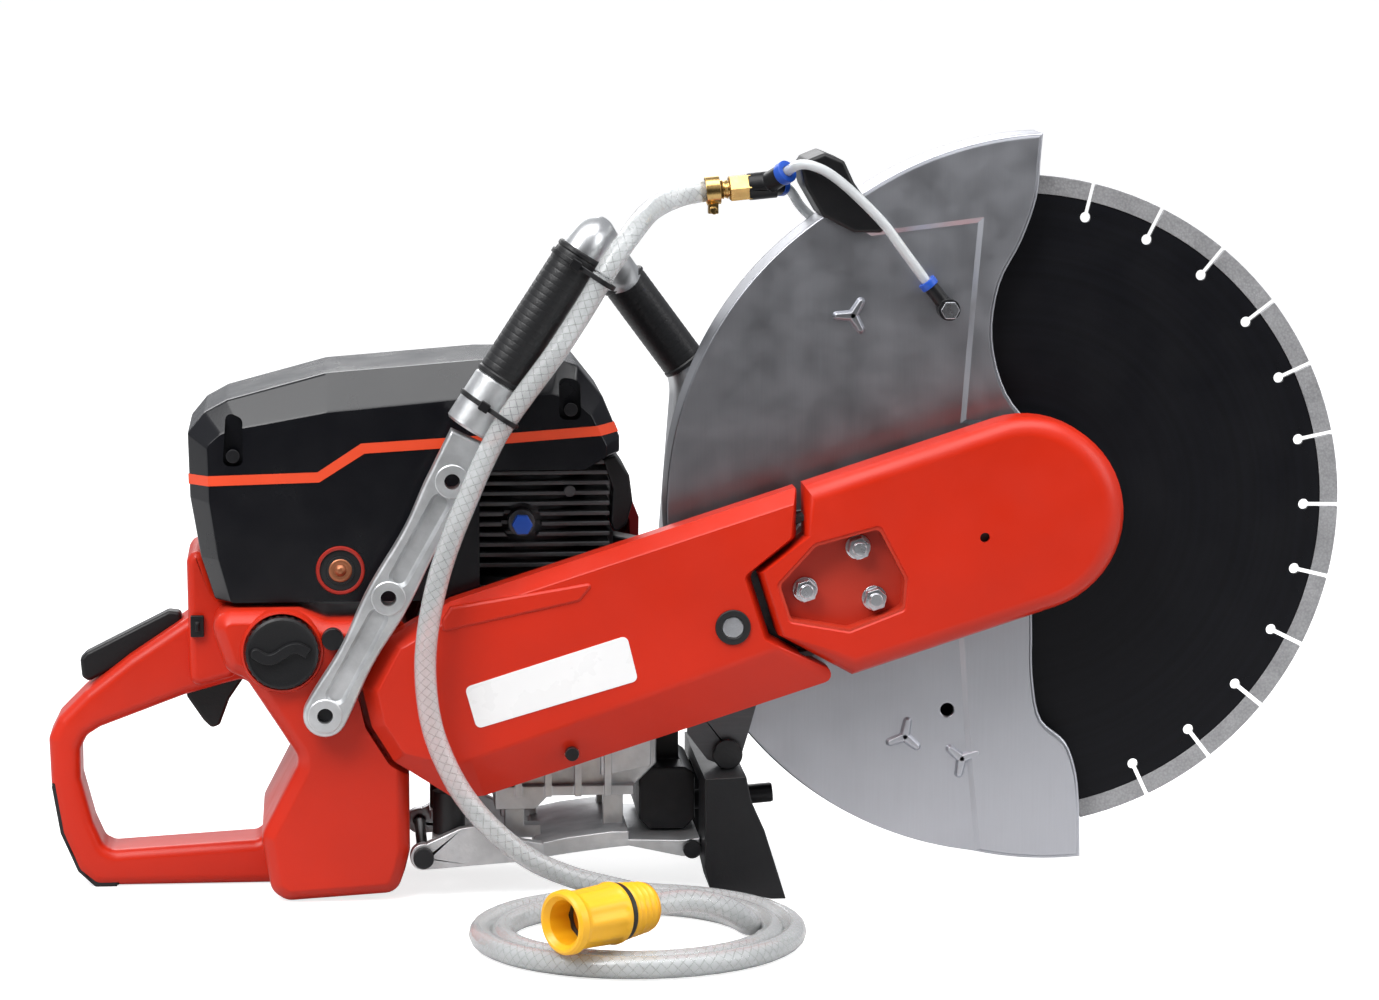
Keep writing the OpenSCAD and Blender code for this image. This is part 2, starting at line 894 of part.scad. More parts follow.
module drive_belt() {
    color([0.07, 0.07, 0.08])
    on_arm()
        slab(-82, -70)
            difference() {
                hull() {
                    circle(r = drive_pulley_r + 3.8);
                    translate([arm_len, 0])
                        circle(r = driven_pulley_r + 3.8);
                }
                hull() {
                    circle(r = drive_pulley_r + 0.35);
                    translate([arm_len, 0])
                        circle(r = driven_pulley_r + 0.35);
                }
            }
}

module spindle_bearings() {
    color([0.62, 0.63, 0.65])
    for (y = [-65.5, -53.5])
        ring_y(blade_x, blade_z, 21, spindle_r + run_gap, y, y + 8);
}

module spindle() {
    color([0.6, 0.61, 0.63]) {
        rod_y(blade_x, blade_z, spindle_r, -86, -44);
        rod_y(blade_x, blade_z, arbor_r, -44, -20);
    }
}

module driven_pulley() {
    color([0.5, 0.51, 0.53])
    difference() {
        union() {
            rod_y(blade_x, blade_z, driven_pulley_r, -84, -68);
            rod_y(blade_x, blade_z, driven_pulley_r + 4, -85, -83);
            rod_y(blade_x, blade_z, driven_pulley_r + 4, -69, -67);
        }
        rod_y(blade_x, blade_z, spindle_r, -90, -60);
        for (a = [0 : 60 : 300])
            translate([blade_x, 0, blade_z])
                rotate([0, a, 0])
                    rod_y(29, 0, 8, -90, -60);
    }
}

module blade_flanges() {
    color([0.55, 0.56, 0.58])
    difference() {
        union() {
            rod_y(blade_x, blade_z, 51, -39, blade_y - core_t / 2);
            rod_y(blade_x, blade_z, 30, -43.4, -39);
            rod_y(blade_x, blade_z, 51, blade_y + core_t / 2, -25);
            rod_y(blade_x, blade_z, 36, -25, -21);
        }
        rod_y(blade_x, blade_z, arbor_r, -50, -10);
    }
}

module blade_slots() {
    translate([blade_x, 0, blade_z])
        for (i = [0 : segment_count - 1])
            rotate([0, 360 * (i + 0.06) / segment_count, 0]) {
                block([core_r - 10, -40, -1.3], [blade_r + 5, -24, 1.3]);
                rod_y(core_r - 10, 0, 3.2, -40, -24);
            }
}

module blade_core() {
    color([0.05, 0.05, 0.07])
    difference() {
        rod_y(blade_x, blade_z, core_r, blade_y - core_t / 2, blade_y + core_t / 2);
        rod_y(blade_x, blade_z, arbor_r, -40, -20);
        blade_slots();
    }
}

module blade_segments() {
    color([0.62, 0.62, 0.64])
    difference() {
        ring_y(blade_x, blade_z, blade_r, core_r, -34, -30);
        blade_slots();
    }
}

module blade_bolt() {
    color([0.5, 0.51, 0.53]) {
        rod_y(blade_x, blade_z, 17, -20, -18);
        hex_y(blade_x, blade_z, 24, -18, -9.5);
    }
}

// ---------- guard ----------

module guard_side(inset) {
    difference() {
        union() {
            translate([blade_x, blade_z])
                circle(r = guard_r - inset);
            translate([blade_x + 22, blade_z + 13])
                circle(r = guard_r - inset);
            translate([blade_x + 22, blade_z - 4])
                circle(r = guard_r - inset);
        }
        // everything in front of the open edge
        polygon([
            [204, 500], [205, 438], [199, 399], [181, 369], [177, 333], [185, 299],
            [205, 278], [238, 262], [246, 231], [238, 200], [205, 182], [204, 149],
            [208, 100], [226, 86], [231, 50], [234, -50], [450, -50], [450, 500]
        ]);
    }
}

module tri_mark(x, z, a) {
    translate([x, z])
        for (k = [0 : 2])
            rotate(a + 120 * k)
                translate([0, -1.6])
                    square([11, 3.2]);
}

module guard() {
    color([0.68, 0.69, 0.7])
    difference() {
        union() {
            slab(-50, -47)
                guard_side(0);
            difference() {
                slab(-50, -12)
                    guard_side(0);
                slab(-49, -10)
                    guard_side(guard_t);
                // the rim does not close the open edge
                slab(-46, -10)
                    translate([6, 0])
                        guard_side(guard_t);
            }
            // far side rim
            difference() {
                slab(-15, -12)
                    guard_side(0);
                rod_y(blade_x, blade_z, 112, -20, -5);
            }
            // raised front strip of the near plate
            intersection() {
                slab(-51.4, -49)
                    guard_side(0);
                slab(-51.4, -49)
                    polygon([[171, 407], [166, 350], [161, 285], [250, 285], [250, 407]]);
            }
            intersection() {
                slab(-51.4, -49)
                    guard_side(0);
                slab(-51.4, -49)
                    polygon([[160, 165], [166, 80], [174, 16], [250, 16], [250, 165]]);
            }
            slab(-51, -49) {
                tri_mark(92, 348, 60);
                tri_mark(125, 91, 80);
                tri_mark(160, 77, 20);
            }
            rod_y(blade_x, blade_z, 44, -50, -44.6);
        }
        rod_y(blade_x, blade_z, boss_r + 0.08, -55, -40);
        rod_y(151, 107, 4, -55, -44);
        rod_y(149, 352, 3.1, -55, -44);
        rod_y(149, 352, 3.1, -20, -5);
    }
}

module guard_handle() {
    color([0.06, 0.06, 0.07])
    difference() {
        slab(-57, -5)
            polygon([
                [60, 436], [64, 442], [74, 446], [86, 441], [92, 428],
                [113, 398], [92, 398], [73, 408], [63, 425]
            ]);
        slab(-50.3, -11.7)
            guard_side(-0.4);
    }
}

module water_line(points) {
    cord(points, tube_od, 3, 12);
}

near_line = [
    tee + 17.6 * near_way, tee + 21 * near_way, [57, -55.4, 438.2], [60.4, -60.6, 439.4],
    [66, -63.8, 438.8], [76, -65, 434.2], [90, -65, 423], [108, -64, 405], [120, -61.6, 389.4],
    near_elbow + 25 * near_entry, near_elbow + 19.4 * near_entry
];
far_line = [
    tee + 14 * far_way, tee + 17.6 * far_way, [57, -13.4, 421.6], [60.6, -7.4, 417.4],
    [65, -2.4, 411], [72, 0.4, 404], [84, 1, 395], [100, 0, 385.4], [118, -3, 374.6],
    far_elbow + 20.4 * far_entry, far_elbow + 15.6 * far_entry
];

module water_tubes() {
    color([0.85, 0.9, 0.92]) {
        water_line(near_line);
        water_line(far_line);
    }
}

module banjo_elbow(at, entry, reach, r, y0, y1) {
    difference() {
        union() {
            bar(at + reach * entry, at, r);
            rod_y(at[0], at[2], 6.6, y0, y1);
        }
        rod_y(at[0], at[2], 3, y0 - 6, y1 + 6);
    }
}

module tube_elbows() {
    color([0.07, 0.07, 0.08]) {
        banjo_elbow(near_elbow, near_entry, 17.4, 4.6, -62, -50.2);
        banjo_elbow(far_elbow, far_entry, 13.6, 4, -11.8, -2.6);
    }
}

module banjo_screws() {
    color([0.7, 0.71, 0.73]) {
        hex_y(149, 352, 10, -66, -62);
        rod_y(149, 352, 3, -62, -44);
        hex_y(149, 352, 10, -2.6, 1.4);
        rod_y(149, 352, 3, -18, -2.6);
    }
}

module y_connector() {
    color([0.08, 0.08, 0.09]) {
        bar(on_barb(28.8), on_barb(45.6), 8.2);
        bar(tee, tee + 15.8 * near_way, 6.4);
        bar(tee, tee + 12.4 * far_way, 6);
    }
}

// A locking collar with the tube's socket in its outer end.
module lock_collar(at, way, near, far, r) {
    difference() {
        bar(at + near * way, at + far * way, r);
        bar(at + (near + 1) * way, at + (far + 2) * way, tube_od / 2 + 0.35);
    }
}

module tube_collars() {
    color([0.1, 0.35, 0.85]) {
        lock_collar(tee, near_way, 15.8, 21, 7);
        lock_collar(tee, far_way, 12.4, 17, 6.2);
        lock_collar(near_elbow, near_entry, 17.4, 22, 5.6);
        lock_collar(far_elbow, far_entry, 13.6, 18, 5);
    }
}

function on_barb(t) = [2, -32, 421.6] + t * barb_way;

module hose_barb() {
    color([0.78, 0.6, 0.28])
    difference() {
        union() {
            bar(on_barb(0), on_barb(18), 6);
            translate(on_barb(17))
                rotate([0, 84.5, 0])
                    cylinder(d = 15 / cos(30), h = 10.6, $fn = 6);
            bar(on_barb(27), on_barb(28.7), 7);
        }
        bar(on_barb(-1), on_barb(24), 3.6);
    }
}

module hose_clamp() {
    color([0.72, 0.73, 0.75]) {
        difference() {
            bar(on_barb(3), on_barb(11.6), 8.6);
            bar(on_barb(2), on_barb(13), 7.6);
        }
        block([6.5, -36, 408.5], [12.5, -28, 414.6]);
        rod_y(9.5, 410.5, 2.2, -40, -26);
    }
}

module hose_upper() {
    color([0.9, 0.93, 0.94])
    difference() {
        cord(upper_points, hose_d, 3, 12);
        bar(on_barb(-2), on_barb(30), 6.05);
    }
}

// ---------- hose on the floor ----------

module hose_run() {
    color([0.9, 0.93, 0.94])
    cord(hose_points, hose_d, 2, 12);
}

module hose_coil() {
    color([0.9, 0.93, 0.94])
    translate([coil_x, coil_y, 0])
        rotate_extrude($fn = 96)
            polygon([[62, 1.5], [64, 0], [coil_r + 5, 0], [coil_r + 6.5, 2], [coil_r + 6.5, 12], [coil_r + 5, 13.6], [64, 13.6], [62, 12]]);
}

module hose_tail() {
    color([0.9, 0.93, 0.94])
    cord(tail_points, hose_d, 2, 12);
}

// Connector axis runs from the open mouth back to the hose.
module on_connector() {
    translate(connector_mouth)
        rotate([0, 0, connector_turn])
            rotate([0, 90, 0])
                children();
}

module quick_connector() {
    color([1.0, 0.72, 0.08])
    on_connector()
        difference() {
            union() {
                cylinder(r1 = 17.6, r2 = 18.6, h = 6);
                translate([0, 0, 6])
                    cylinder(r = 18.6, h = 30);
                translate([0, 0, 36])
                    cylinder(r1 = 18.6, r2 = 16, h = 4);
                translate([0, 0, 44])
                    cylinder(r1 = 15.6, r2 = 13.6, h = 20);
                cylinder(r = 12, h = 44);
                for (i = [0 : 17])
                    rotate(i * 20)
                        translate([14.2, 0, 44])
                            cylinder(r = 1.6, h = 14);
            }
            translate([0, 0, -1])
                cylinder(r = 12.6, h = 27);
            cylinder(r = 5, h = 50);
            translate([0, 0, 46])
                cylinder(r = hose_d / 2, h = 30);
        }
}

module connector_ring() {
    color([0.05, 0.05, 0.06])
    on_connector()
        translate([0, 0, 40])
            difference() {
                cylinder(r = 17, h = 4);
                translate([0, 0, -1])
                    cylinder(r = 12, h = 6);
            }
}

// ---------- fasteners ----------

module machine_screws() {
    color([0.1, 0.1, 0.11]) {
        // handle bracket to housing
        rod_y(-226, 117, 4.4, -91, -84);
        rod_y(-226, 117, 2.9, -84, -55);
        // rear cover
        on_arm() {
            rod_y(18, -50, 4, -92.5, -70);
            for (t = [-25, 25])
                rod_y(62, t, 4, -60.5, -48);
        }
        // cradle to housing and foot
        rod_y(-168, 25, 3.4, -69, 49);
        rod_y(-168, 25, 6.2, -74, -68.1);
        rod_y(-6, 27, 2.9, -66, 48);
        rod_y(-6, 27, 5.5, -69, -64.1);
        // filter cover
        for (p = [[-279, 268], [-78, 294]]) {
            rod_y(p[0], p[1], 4, -62, -60.5);
            rod_y(p[0], p[1], 2.5, -60.5, -50);
        }
        // starter housing
        for (a = [45 : 90 : 315])
            rotate_about_drive(a)
                rod_y(77, 0, 2.5, 90, 93);
    }
}

rear_housing();
rear_skid();
filter_cover();
cover_trim();
primer_bulb();
filter_element();
carburettor();
cylinder_body();  // cylinder
spark_plug();
muffler();
crankcase();
engine_cradle();
support_foot();
rubber_mounts();
starter_housing();
handle_bracket();
handle_tube();
handle_grips();
machine_screws();
support_arm();
bearing_arm();
arm_nuts();
rear_cover();
front_cover();
label_plate();
spindle_bearings();
zip_ties();
drive_belt();
hose_run();
hose_coil();
hose_tail();
quick_connector();
connector_ring();
guard();
guard_handle();
tube_elbows();
banjo_screws();
y_connector();
tube_collars();
water_tubes();
hose_barb();
hose_clamp();
hose_upper();
spindle();
driven_pulley();
blade_flanges();
blade_core();
blade_segments();
blade_bolt();
crankshaft();
flywheel();
clutch_hub();
clutch_drum();
throttle_trigger();
throttle_lockout();
stop_switch();
choke_knob();
decompression_valve();
fuel_cap();
starter_grip();
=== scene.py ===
"""Rescue saw: builds the looks of every part around its CAD frame.

Lengths in the tables below are millimetres in the frame of the saw: +X forward along the
cutting arm, +Z up, -Y the operator's right. Meshes are made in metres.
"""
import json
import math

import bmesh
import bpy
from bpy.props import FloatProperty, FloatVectorProperty, IntProperty, PointerProperty
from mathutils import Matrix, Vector

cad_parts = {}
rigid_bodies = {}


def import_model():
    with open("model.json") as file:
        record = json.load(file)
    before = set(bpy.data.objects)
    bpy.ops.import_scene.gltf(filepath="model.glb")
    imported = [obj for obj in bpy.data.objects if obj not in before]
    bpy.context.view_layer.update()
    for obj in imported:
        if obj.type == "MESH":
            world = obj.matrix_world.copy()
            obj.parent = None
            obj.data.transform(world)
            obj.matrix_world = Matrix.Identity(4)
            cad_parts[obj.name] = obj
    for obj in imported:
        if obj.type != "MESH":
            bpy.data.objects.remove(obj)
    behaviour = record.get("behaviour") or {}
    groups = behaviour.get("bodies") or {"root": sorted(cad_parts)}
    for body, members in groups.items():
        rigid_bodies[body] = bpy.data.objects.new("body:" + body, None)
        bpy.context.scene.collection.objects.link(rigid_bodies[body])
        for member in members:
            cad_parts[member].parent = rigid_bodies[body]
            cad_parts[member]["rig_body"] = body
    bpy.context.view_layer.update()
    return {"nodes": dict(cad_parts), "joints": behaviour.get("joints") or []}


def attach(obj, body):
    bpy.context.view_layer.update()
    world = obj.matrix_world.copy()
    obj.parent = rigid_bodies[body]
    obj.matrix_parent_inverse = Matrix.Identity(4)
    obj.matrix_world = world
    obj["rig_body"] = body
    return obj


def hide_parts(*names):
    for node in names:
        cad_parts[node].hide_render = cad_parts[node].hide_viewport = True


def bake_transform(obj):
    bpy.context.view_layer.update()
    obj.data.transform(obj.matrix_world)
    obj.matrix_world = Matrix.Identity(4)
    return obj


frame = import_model()

bl_info = {
    "name": "Rescue Saw Builder",
    "version": (1, 0, 0),
    "blender": (4, 5, 0),
    "location": "3D View > Sidebar > Rescue Saw",
    "description": "Builds a petrol rescue saw with its water hose, part by part",
    "category": "Object",
}

MM = 0.001
GUARD_R = 213
BLADE = Vector(next(j["pos_m"] for j in frame["joints"] if j["name"] == "blade_spin")) / MM
DRIVE = Vector(next(j["pos_m"] for j in frame["joints"] if j["name"] == "crank_spin")) / MM
ARM_ANGLE = math.atan2(BLADE.z - DRIVE.z, BLADE.x - DRIVE.x)
ARM_LENGTH = math.hypot(BLADE.x - DRIVE.x, BLADE.z - DRIVE.z)

# ---------------------------------------------------------------- outlines

HANDLE_OUTER = [
    (-393, 92), (-392, 64), (-387, 33), (-377, 9), (-366, 0), (-250, 0), (-220, 30), (-220, 150),
    (-250, 172), (-298, 172), (-311, 163), (-344, 141), (-371, 120), (-387, 104),
]
HANDLE_INNER = [
    (-374, 85), (-370, 93), (-362, 98), (-311, 117), (-274, 127), (-264, 112), (-243, 78),
    (-262, 32), (-268, 27), (-355, 22), (-361, 25), (-367, 39), (-374, 66),
]
TANK = [
    (-296, 177), (-240, 177), (-224, 170), (-176, 170), (-176, 30), (-179, 18), (-184, 4),
    (-250, 0), (-259, 6), (-265, 40), (-241, 86), (-273, 136), (-284, 140),
]
SHOULDER = [
    (-308, 202), (-307, 124), (-282, 130), (-270, 140), (-272, 179), (-289, 180), (-297, 206), (-304, 208),
]
SKID = [
    (-392, 64), (-387, 33), (-377, 9), (-366, 0), (-352, 0),
    (-352, 2.5), (-365, 2.5), (-374, 11), (-384, 34), (-389, 64),
]
COVER_REAR_END = [(-22, 59), (-64, 50), (-88, 27), (-90, 2), (-84, -22), (-57, -55), (-40, -59)]
COVER_HALF = 59
POCKET = [(194, 24), (234, 22), (240, -13), (233, -30), (198, -32), (166, -15), (166, 8)]
NUTS = [(219, 12.4), (181, -2), (219, -20.2)]
HOOD_OUTER = [
    (-306, 281), (-305, 242), (-299, 206), (-291, 180), (-133, 180), (-133, 258), (-67, 258), (-48, 267),
    (-48, 276), (-58, 300), (-73, 319), (-84, 323), (-133, 323), (-223, 316), (-283, 300), (-296, 293),
]
HOOD_FACE = [
    (-294, 274), (-293, 240), (-288, 206), (-281, 180), (-133, 180), (-133, 258), (-70, 258), (-57, 266),
    (-57, 272), (-66, 290), (-76, 299), (-90, 303), (-133, 301), (-223, 293), (-274, 284), (-286, 281),
]
STRIPE_TOP = [(-307, 256), (-229, 258), (-203, 275), (-133, 279), (-46, 285.4)]
STRIPE_LOW = [(-307, 250), (-228, 252), (-201, 269), (-133, 273), (-46, 279.4)]
TRIGGER = [
    (-310, 114), (-309, 124), (-290, 132), (-284, 139), (-275, 139), (-273, 128),
    (-284, 112), (-290, 96), (-295, 94), (-300, 99),
]
LOCKOUT = [
    (-374, 138), (-373, 127), (-369, 124), (-345, 136), (-318, 153), (-313, 155), (-312, 166),
    (-320, 167), (-370, 142),
]
BRACKET_LINE = [
    (-226, 117, 13), (-207, 152, 10.8), (-188, 187, 13), (-169, 221.5, 11.4), (-150, 256, 14),
    (-138, 281, 13.6),
]
HANDLE_PATH = [
    (-134, -89, 297), (-66, -89, 402), (-42, 92, 366), (6, 97, 300), (-6, 97, 150), (-30, 66, 84),
    (-30, 44, 84),
]
HOSE_RUN = [
    (-61, -102, 377), (-68, -102, 365), (-76, -102, 352), (-90, -103, 331), (-108, -103, 307),
    (-122, -103, 287), (-132, -105, 268), (-141, -107, 248), (-151, -109, 224), (-159, -110, 200),
    (-165, -111, 172), (-167, -111, 145), (-164, -112, 116), (-156, -113, 92), (-144, -114, 70),
    (-127, -115, 50), (-105, -113, 32), (-82, -106, 20), (-62, -100, 13), (-44, -98, 8),
]
COIL_CENTRE = (-51, -195)
COIL_OUTER, COIL_INNER = 97.2, 68.6
COIL_FROM, COIL_TURN = 85.9, 73.6 + 720
COIL_CLEARANCE = 0.5
HOSE_TAIL = [
    (16, -180.4, 7), (17.2, -190, 8.5), (15.5, -200, 12), (11, -209, 17), (3, -217, 23.5), (-9, -224, 29),
    (-24, -231.5, 32.6), (-45, -246, 33),
]
HOSE_UPPER = [
    (-60.6, -102, 377.7), (-53.6, -99.9, 388.6), (-46.5, -93.6, 397.6), (-40.7, -84.3, 403.8),
    (-36.2, -72.7, 407.6), (-32.4, -60.5, 410.1), (-27.3, -49.1, 412.8), (-19.2, -39.9, 416.3),
    (-8.4, -34, 419.7), (4, -32, 421.8), (13.5, -32, 422.7),
]
CONNECTOR_MOUTH = Vector((-97, -286, 33))
CONNECTOR_WAY = Vector((math.cos(math.radians(38)), math.sin(math.radians(38)), 0))
BARB_FROM, BARB_WAY = Vector((2, -32, 421.6)), Vector((0.9954, 0, 0.096))
NEAR_WAY, FAR_WAY = Vector((0.568, -0.694, 0.442)), Vector((0.684, 0.725, -0.081))
NEAR_ELBOW, FAR_ELBOW = Vector((149, -57.3, 352)), Vector((149, -6.6, 352))
NEAR_ENTRY, FAR_ENTRY = Vector((-0.622, 0, 0.783)), Vector((-0.774, 0, 0.633))
TEE = BARB_FROM + BARB_WAY * 39.2
PRIMER = (-216, 199)
FILLER = (-251, 153)
HANDLE_HALF = 22
BRACKET_FACE = -96


# ---------------------------------------------------------------- sizes and colours


def colour(label, text, rgb):
    """A colour that the panel can change."""
    return FloatVectorProperty(
        name=label, description=text, subtype="COLOR", size=3, min=0, max=1, default=rgb,
    )


def length(label, text, default, low, high):
    """A length in metres that the panel can change."""
    return FloatProperty(name=label, description=text, default=default, min=low, max=high, unit="LENGTH")


def whole_number(label, text, default, low, high):
    """A whole number that the panel can change."""
    return IntProperty(name=label, description=text, default=default, min=low, max=high)


class SawColours(bpy.types.PropertyGroup):
    """Colours of the saw's finishes"""

    housing: colour("Housing", "Moulded housing and belt covers", (0.56, 0.020, 0.004))
    # painted shade: the starter shroud is the housing red darkened to stand for its shadow
    starter: colour("Starter Shroud", "Moulded starter shroud", (0.30, 0.008, 0.010))
    stripe: colour("Trim Stripe", "Stripe and ring on the filter cover", (0.78, 0.07, 0.02))
    graphite: colour("Filter Cover", "Filter cover moulding", (0.004, 0.0042, 0.006))
    black: colour("Black Plastic", "Levers, cap, foot and fittings", (0.006, 0.006, 0.007))
    rubber: colour("Rubber", "Grips, skid and buffers", (0.013, 0.013, 0.014))
    casting: colour("Castings", "Cast aluminium parts", (0.66, 0.67, 0.68))
    guard: colour("Guard", "Satin sheet of the blade guard", (0.56, 0.57, 0.61))
    blade: colour("Blade Coating", "Coating on the blade core", (0.003, 0.0032, 0.005))
    segment: colour("Segments", "Sintered rim segments", (0.40, 0.40, 0.41))
    yellow: colour("Hose Connector", "Snap connector body", (0.94, 0.48, 0.012))
    blue: colour("Blue Parts", "Locking collars and valve", (0.015, 0.085, 0.48))
    brass: colour("Brass", "Hose barb", (0.68, 0.45, 0.17))
    copper: colour("Primer Bulb", "Domed primer", (0.36, 0.13, 0.06))
    hose: colour("Clear Hose", "Clear vinyl of the hose", (0.93, 0.95, 0.95))
    floor: colour("Floor", "Studio floor", (0.55, 0.55, 0.55))


class SawSizes(bpy.types.PropertyGroup):
    """Sizes that shape the visible parts"""

    grip_round: length("Handle Rounding", "Rounding of the rear handle", 0.009, 0.002, 0.014)
    hose: length("Hose Diameter", "Outside of the supply hose", 0.013, 0.010, 0.016)
    hose_bore: length("Hose Bore", "Inside of the supply hose", 0.0094, 0.006, 0.012)
    tube: length("Tube Diameter", "Outside of the thin water tubes", 0.006, 0.004, 0.008)
    handle_tube: length("Handle Tube", "Diameter of the front handle tube", 0.024, 0.020, 0.026)
    grip_ribs: whole_number("Grip Ribs", "Ribs along the near rubber grip", 20, 8, 40)
    cap_flutes: whole_number("Cap Flutes", "Flutes around the fuel cap", 30, 12, 48)
    lens: FloatProperty(
        name="Lens", description="Focal length of the camera", default=120.1, min=50, max=200,
        subtype="DISTANCE_CAMERA",
    )


# ---------------------------------------------------------------- mesh makers


def side(x, z, y):
    """A point given in side view, with its depth last."""
    return Vector((x, y, z))


def on_circle(x, z, r, t):
    return (x + r * math.cos(t), z + r * math.sin(t))


def arm(u, v, y):
    """A point given along and across the cutting arm."""
    c, s = math.cos(ARM_ANGLE), math.sin(ARM_ANGLE)
    return Vector((DRIVE.x + u * c - v * s, y, DRIVE.z + u * s + v * c))


def area_of(loop):
    return sum(a[0] * b[1] - b[0] * a[1] for a, b in zip(loop, loop[1:] + loop[:1])) / 2


def rounded(loop, radius, steps=5):
    """The outline with its corners turned into arcs."""
    out, n = [], len(loop)
    for i, point in enumerate(loop):
        p = Vector(point)
        a, b = Vector(loop[i - 1]) - p, Vector(loop[(i + 1) % n]) - p
        r = radius[i] if isinstance(radius, (list, tuple)) else radius
        angle = a.angle(b)
        if angle > math.radians(179.6) or r <= 0:
            out.append(tuple(p))
            continue
        reach = min(r / math.tan(angle / 2), 0.45 * a.length, 0.45 * b.length)
        r = reach * math.tan(angle / 2)
        start, end = p + a.normalized() * reach, p + b.normalized() * reach
        centre = p + (a.normalized() + b.normalized()).normalized() * (r / math.sin(angle / 2))
        t0 = math.atan2(start.y - centre.y, start.x - centre.x)
        t1 = math.atan2(end.y - centre.y, end.x - centre.x)
        turn = (t1 - t0 + math.pi) % (2 * math.pi) - math.pi
        out += [on_circle(centre.x, centre.y, r, t0 + turn * k / steps) for k in range(steps + 1)]
    return out


def inset(loop, distance):
    """The outline moved inwards, or outwards for a negative distance."""
    sign = 1 if area_of(loop) > 0 else -1
    out, n = [], len(loop)
    for i in range(n):
        p, q, r = Vector(loop[i - 1]), Vector(loop[i]), Vector(loop[(i + 1) % n])
        a, b = (q - p).normalized(), (r - q).normalized()
        m, k = Vector((-a.y, a.x)) * sign, Vector((-b.y, b.x)) * sign
        out.append(tuple(q + (m + k) * (distance / max(0.35, 1 + m.dot(k)))))
    return out


def circle(x, z, r, count):
    return [on_circle(x, z, r, 2 * math.pi * k / count) for k in range(count)]


def two_circle_band(a, ra, b, rb, count=20):
    """The outline of a band pulled round two circles."""
    a, b = Vector(a), Vector(b)
    d = b - a
    base, lean = math.atan2(d.y, d.x), math.acos((ra - rb) / d.length)
    out = []
    for centre, r, t0, t1 in ((b, rb, -lean, lean), (a, ra, lean, 2 * math.pi - lean)):
        for k in range(count + 1):
            t = base + t0 + (t1 - t0) * k / count
            out.append(tuple(centre + r * Vector((math.cos(t), math.sin(t)))))
    return out


def plate(outline, levels, holes=(), place=side):
    """A solid between stacked copies of an outline.

    Levels are (y, inset) pairs, from the near face to the far one.
    """
    bm = bmesh.new()
    near_edges, far_edges = [], []
    for k, loop in enumerate([outline, *holes]):
        rows = []
        for y, d in levels:
            drawn = inset(loop, d if k == 0 else -d)
            rows.append([bm.verts.new(place(*p, y) * MM) for p in drawn])
        for low, high in zip(rows, rows[1:]):
            for i in range(len(low)):
                j = (i + 1) % len(low)
                bm.faces.new((low[i], low[j], high[j], high[i]))
        near_edges += [bm.edges.get((rows[0][i], rows[0][i - 1])) for i in range(len(loop))]
        far_edges += [bm.edges.get((rows[-1][i], rows[-1][i - 1])) for i in range(len(loop))]
        first, last = rows[0], rows[-1]
    if holes:
        bmesh.ops.triangle_fill(bm, edges=near_edges, use_beauty=True)
        bmesh.ops.triangle_fill(bm, edges=far_edges, use_beauty=True)
    else:
        bm.faces.new(first)
        bm.faces.new(list(reversed(last)))
    bmesh.ops.recalc_face_normals(bm, faces=bm.faces)
    return bm


def soft_levels(y0, y1, r, steps=4):
    """Levels that round both faces of a plate with radius r."""
    turns = [math.radians(90 * k / steps) for k in range(steps + 1)]
    near = [(y0 + r * (1 - math.cos(t)), r * (1 - math.sin(t))) for t in turns]
    far = [(y1 - r * (1 - math.cos(t)), r * (1 - math.sin(t))) for t in reversed(turns)]
    return near + far


def loft(loops):
    """A closed solid through matched rings of points, from the near face to the far one."""
    bm = bmesh.new()
    rows = [[bm.verts.new(p * MM) for p in loop] for loop in loops]
    for low, high in zip(rows, rows[1:]):
        for i in range(len(low)):
            j = (i + 1) % len(low)
            bm.faces.new((low[i], low[j], high[j], high[i]))
    bm.faces.new(rows[0])
    bm.faces.new(list(reversed(rows[-1])))
    bmesh.ops.recalc_face_normals(bm, faces=bm.faces)
    return bm


def frames_along(path):
    """Side vectors that turn smoothly with a path."""
    ways = [(path[min(i + 1, len(path) - 1)] - path[max(i - 1, 0)]).normalized() for i in range(len(path))]
    start = ways[0].cross(Vector((0, 1, 0)) if abs(ways[0].y) < 0.9 else Vector((1, 0, 0))).normalized()
    out = [(start, ways[0].cross(start))]
    for a, b in zip(ways, ways[1:]):
        turned = a.rotation_difference(b) @ out[-1][0]
        turned = (turned - b * turned.dot(b)).normalized()
        out.append((turned, b.cross(turned)))
    return out


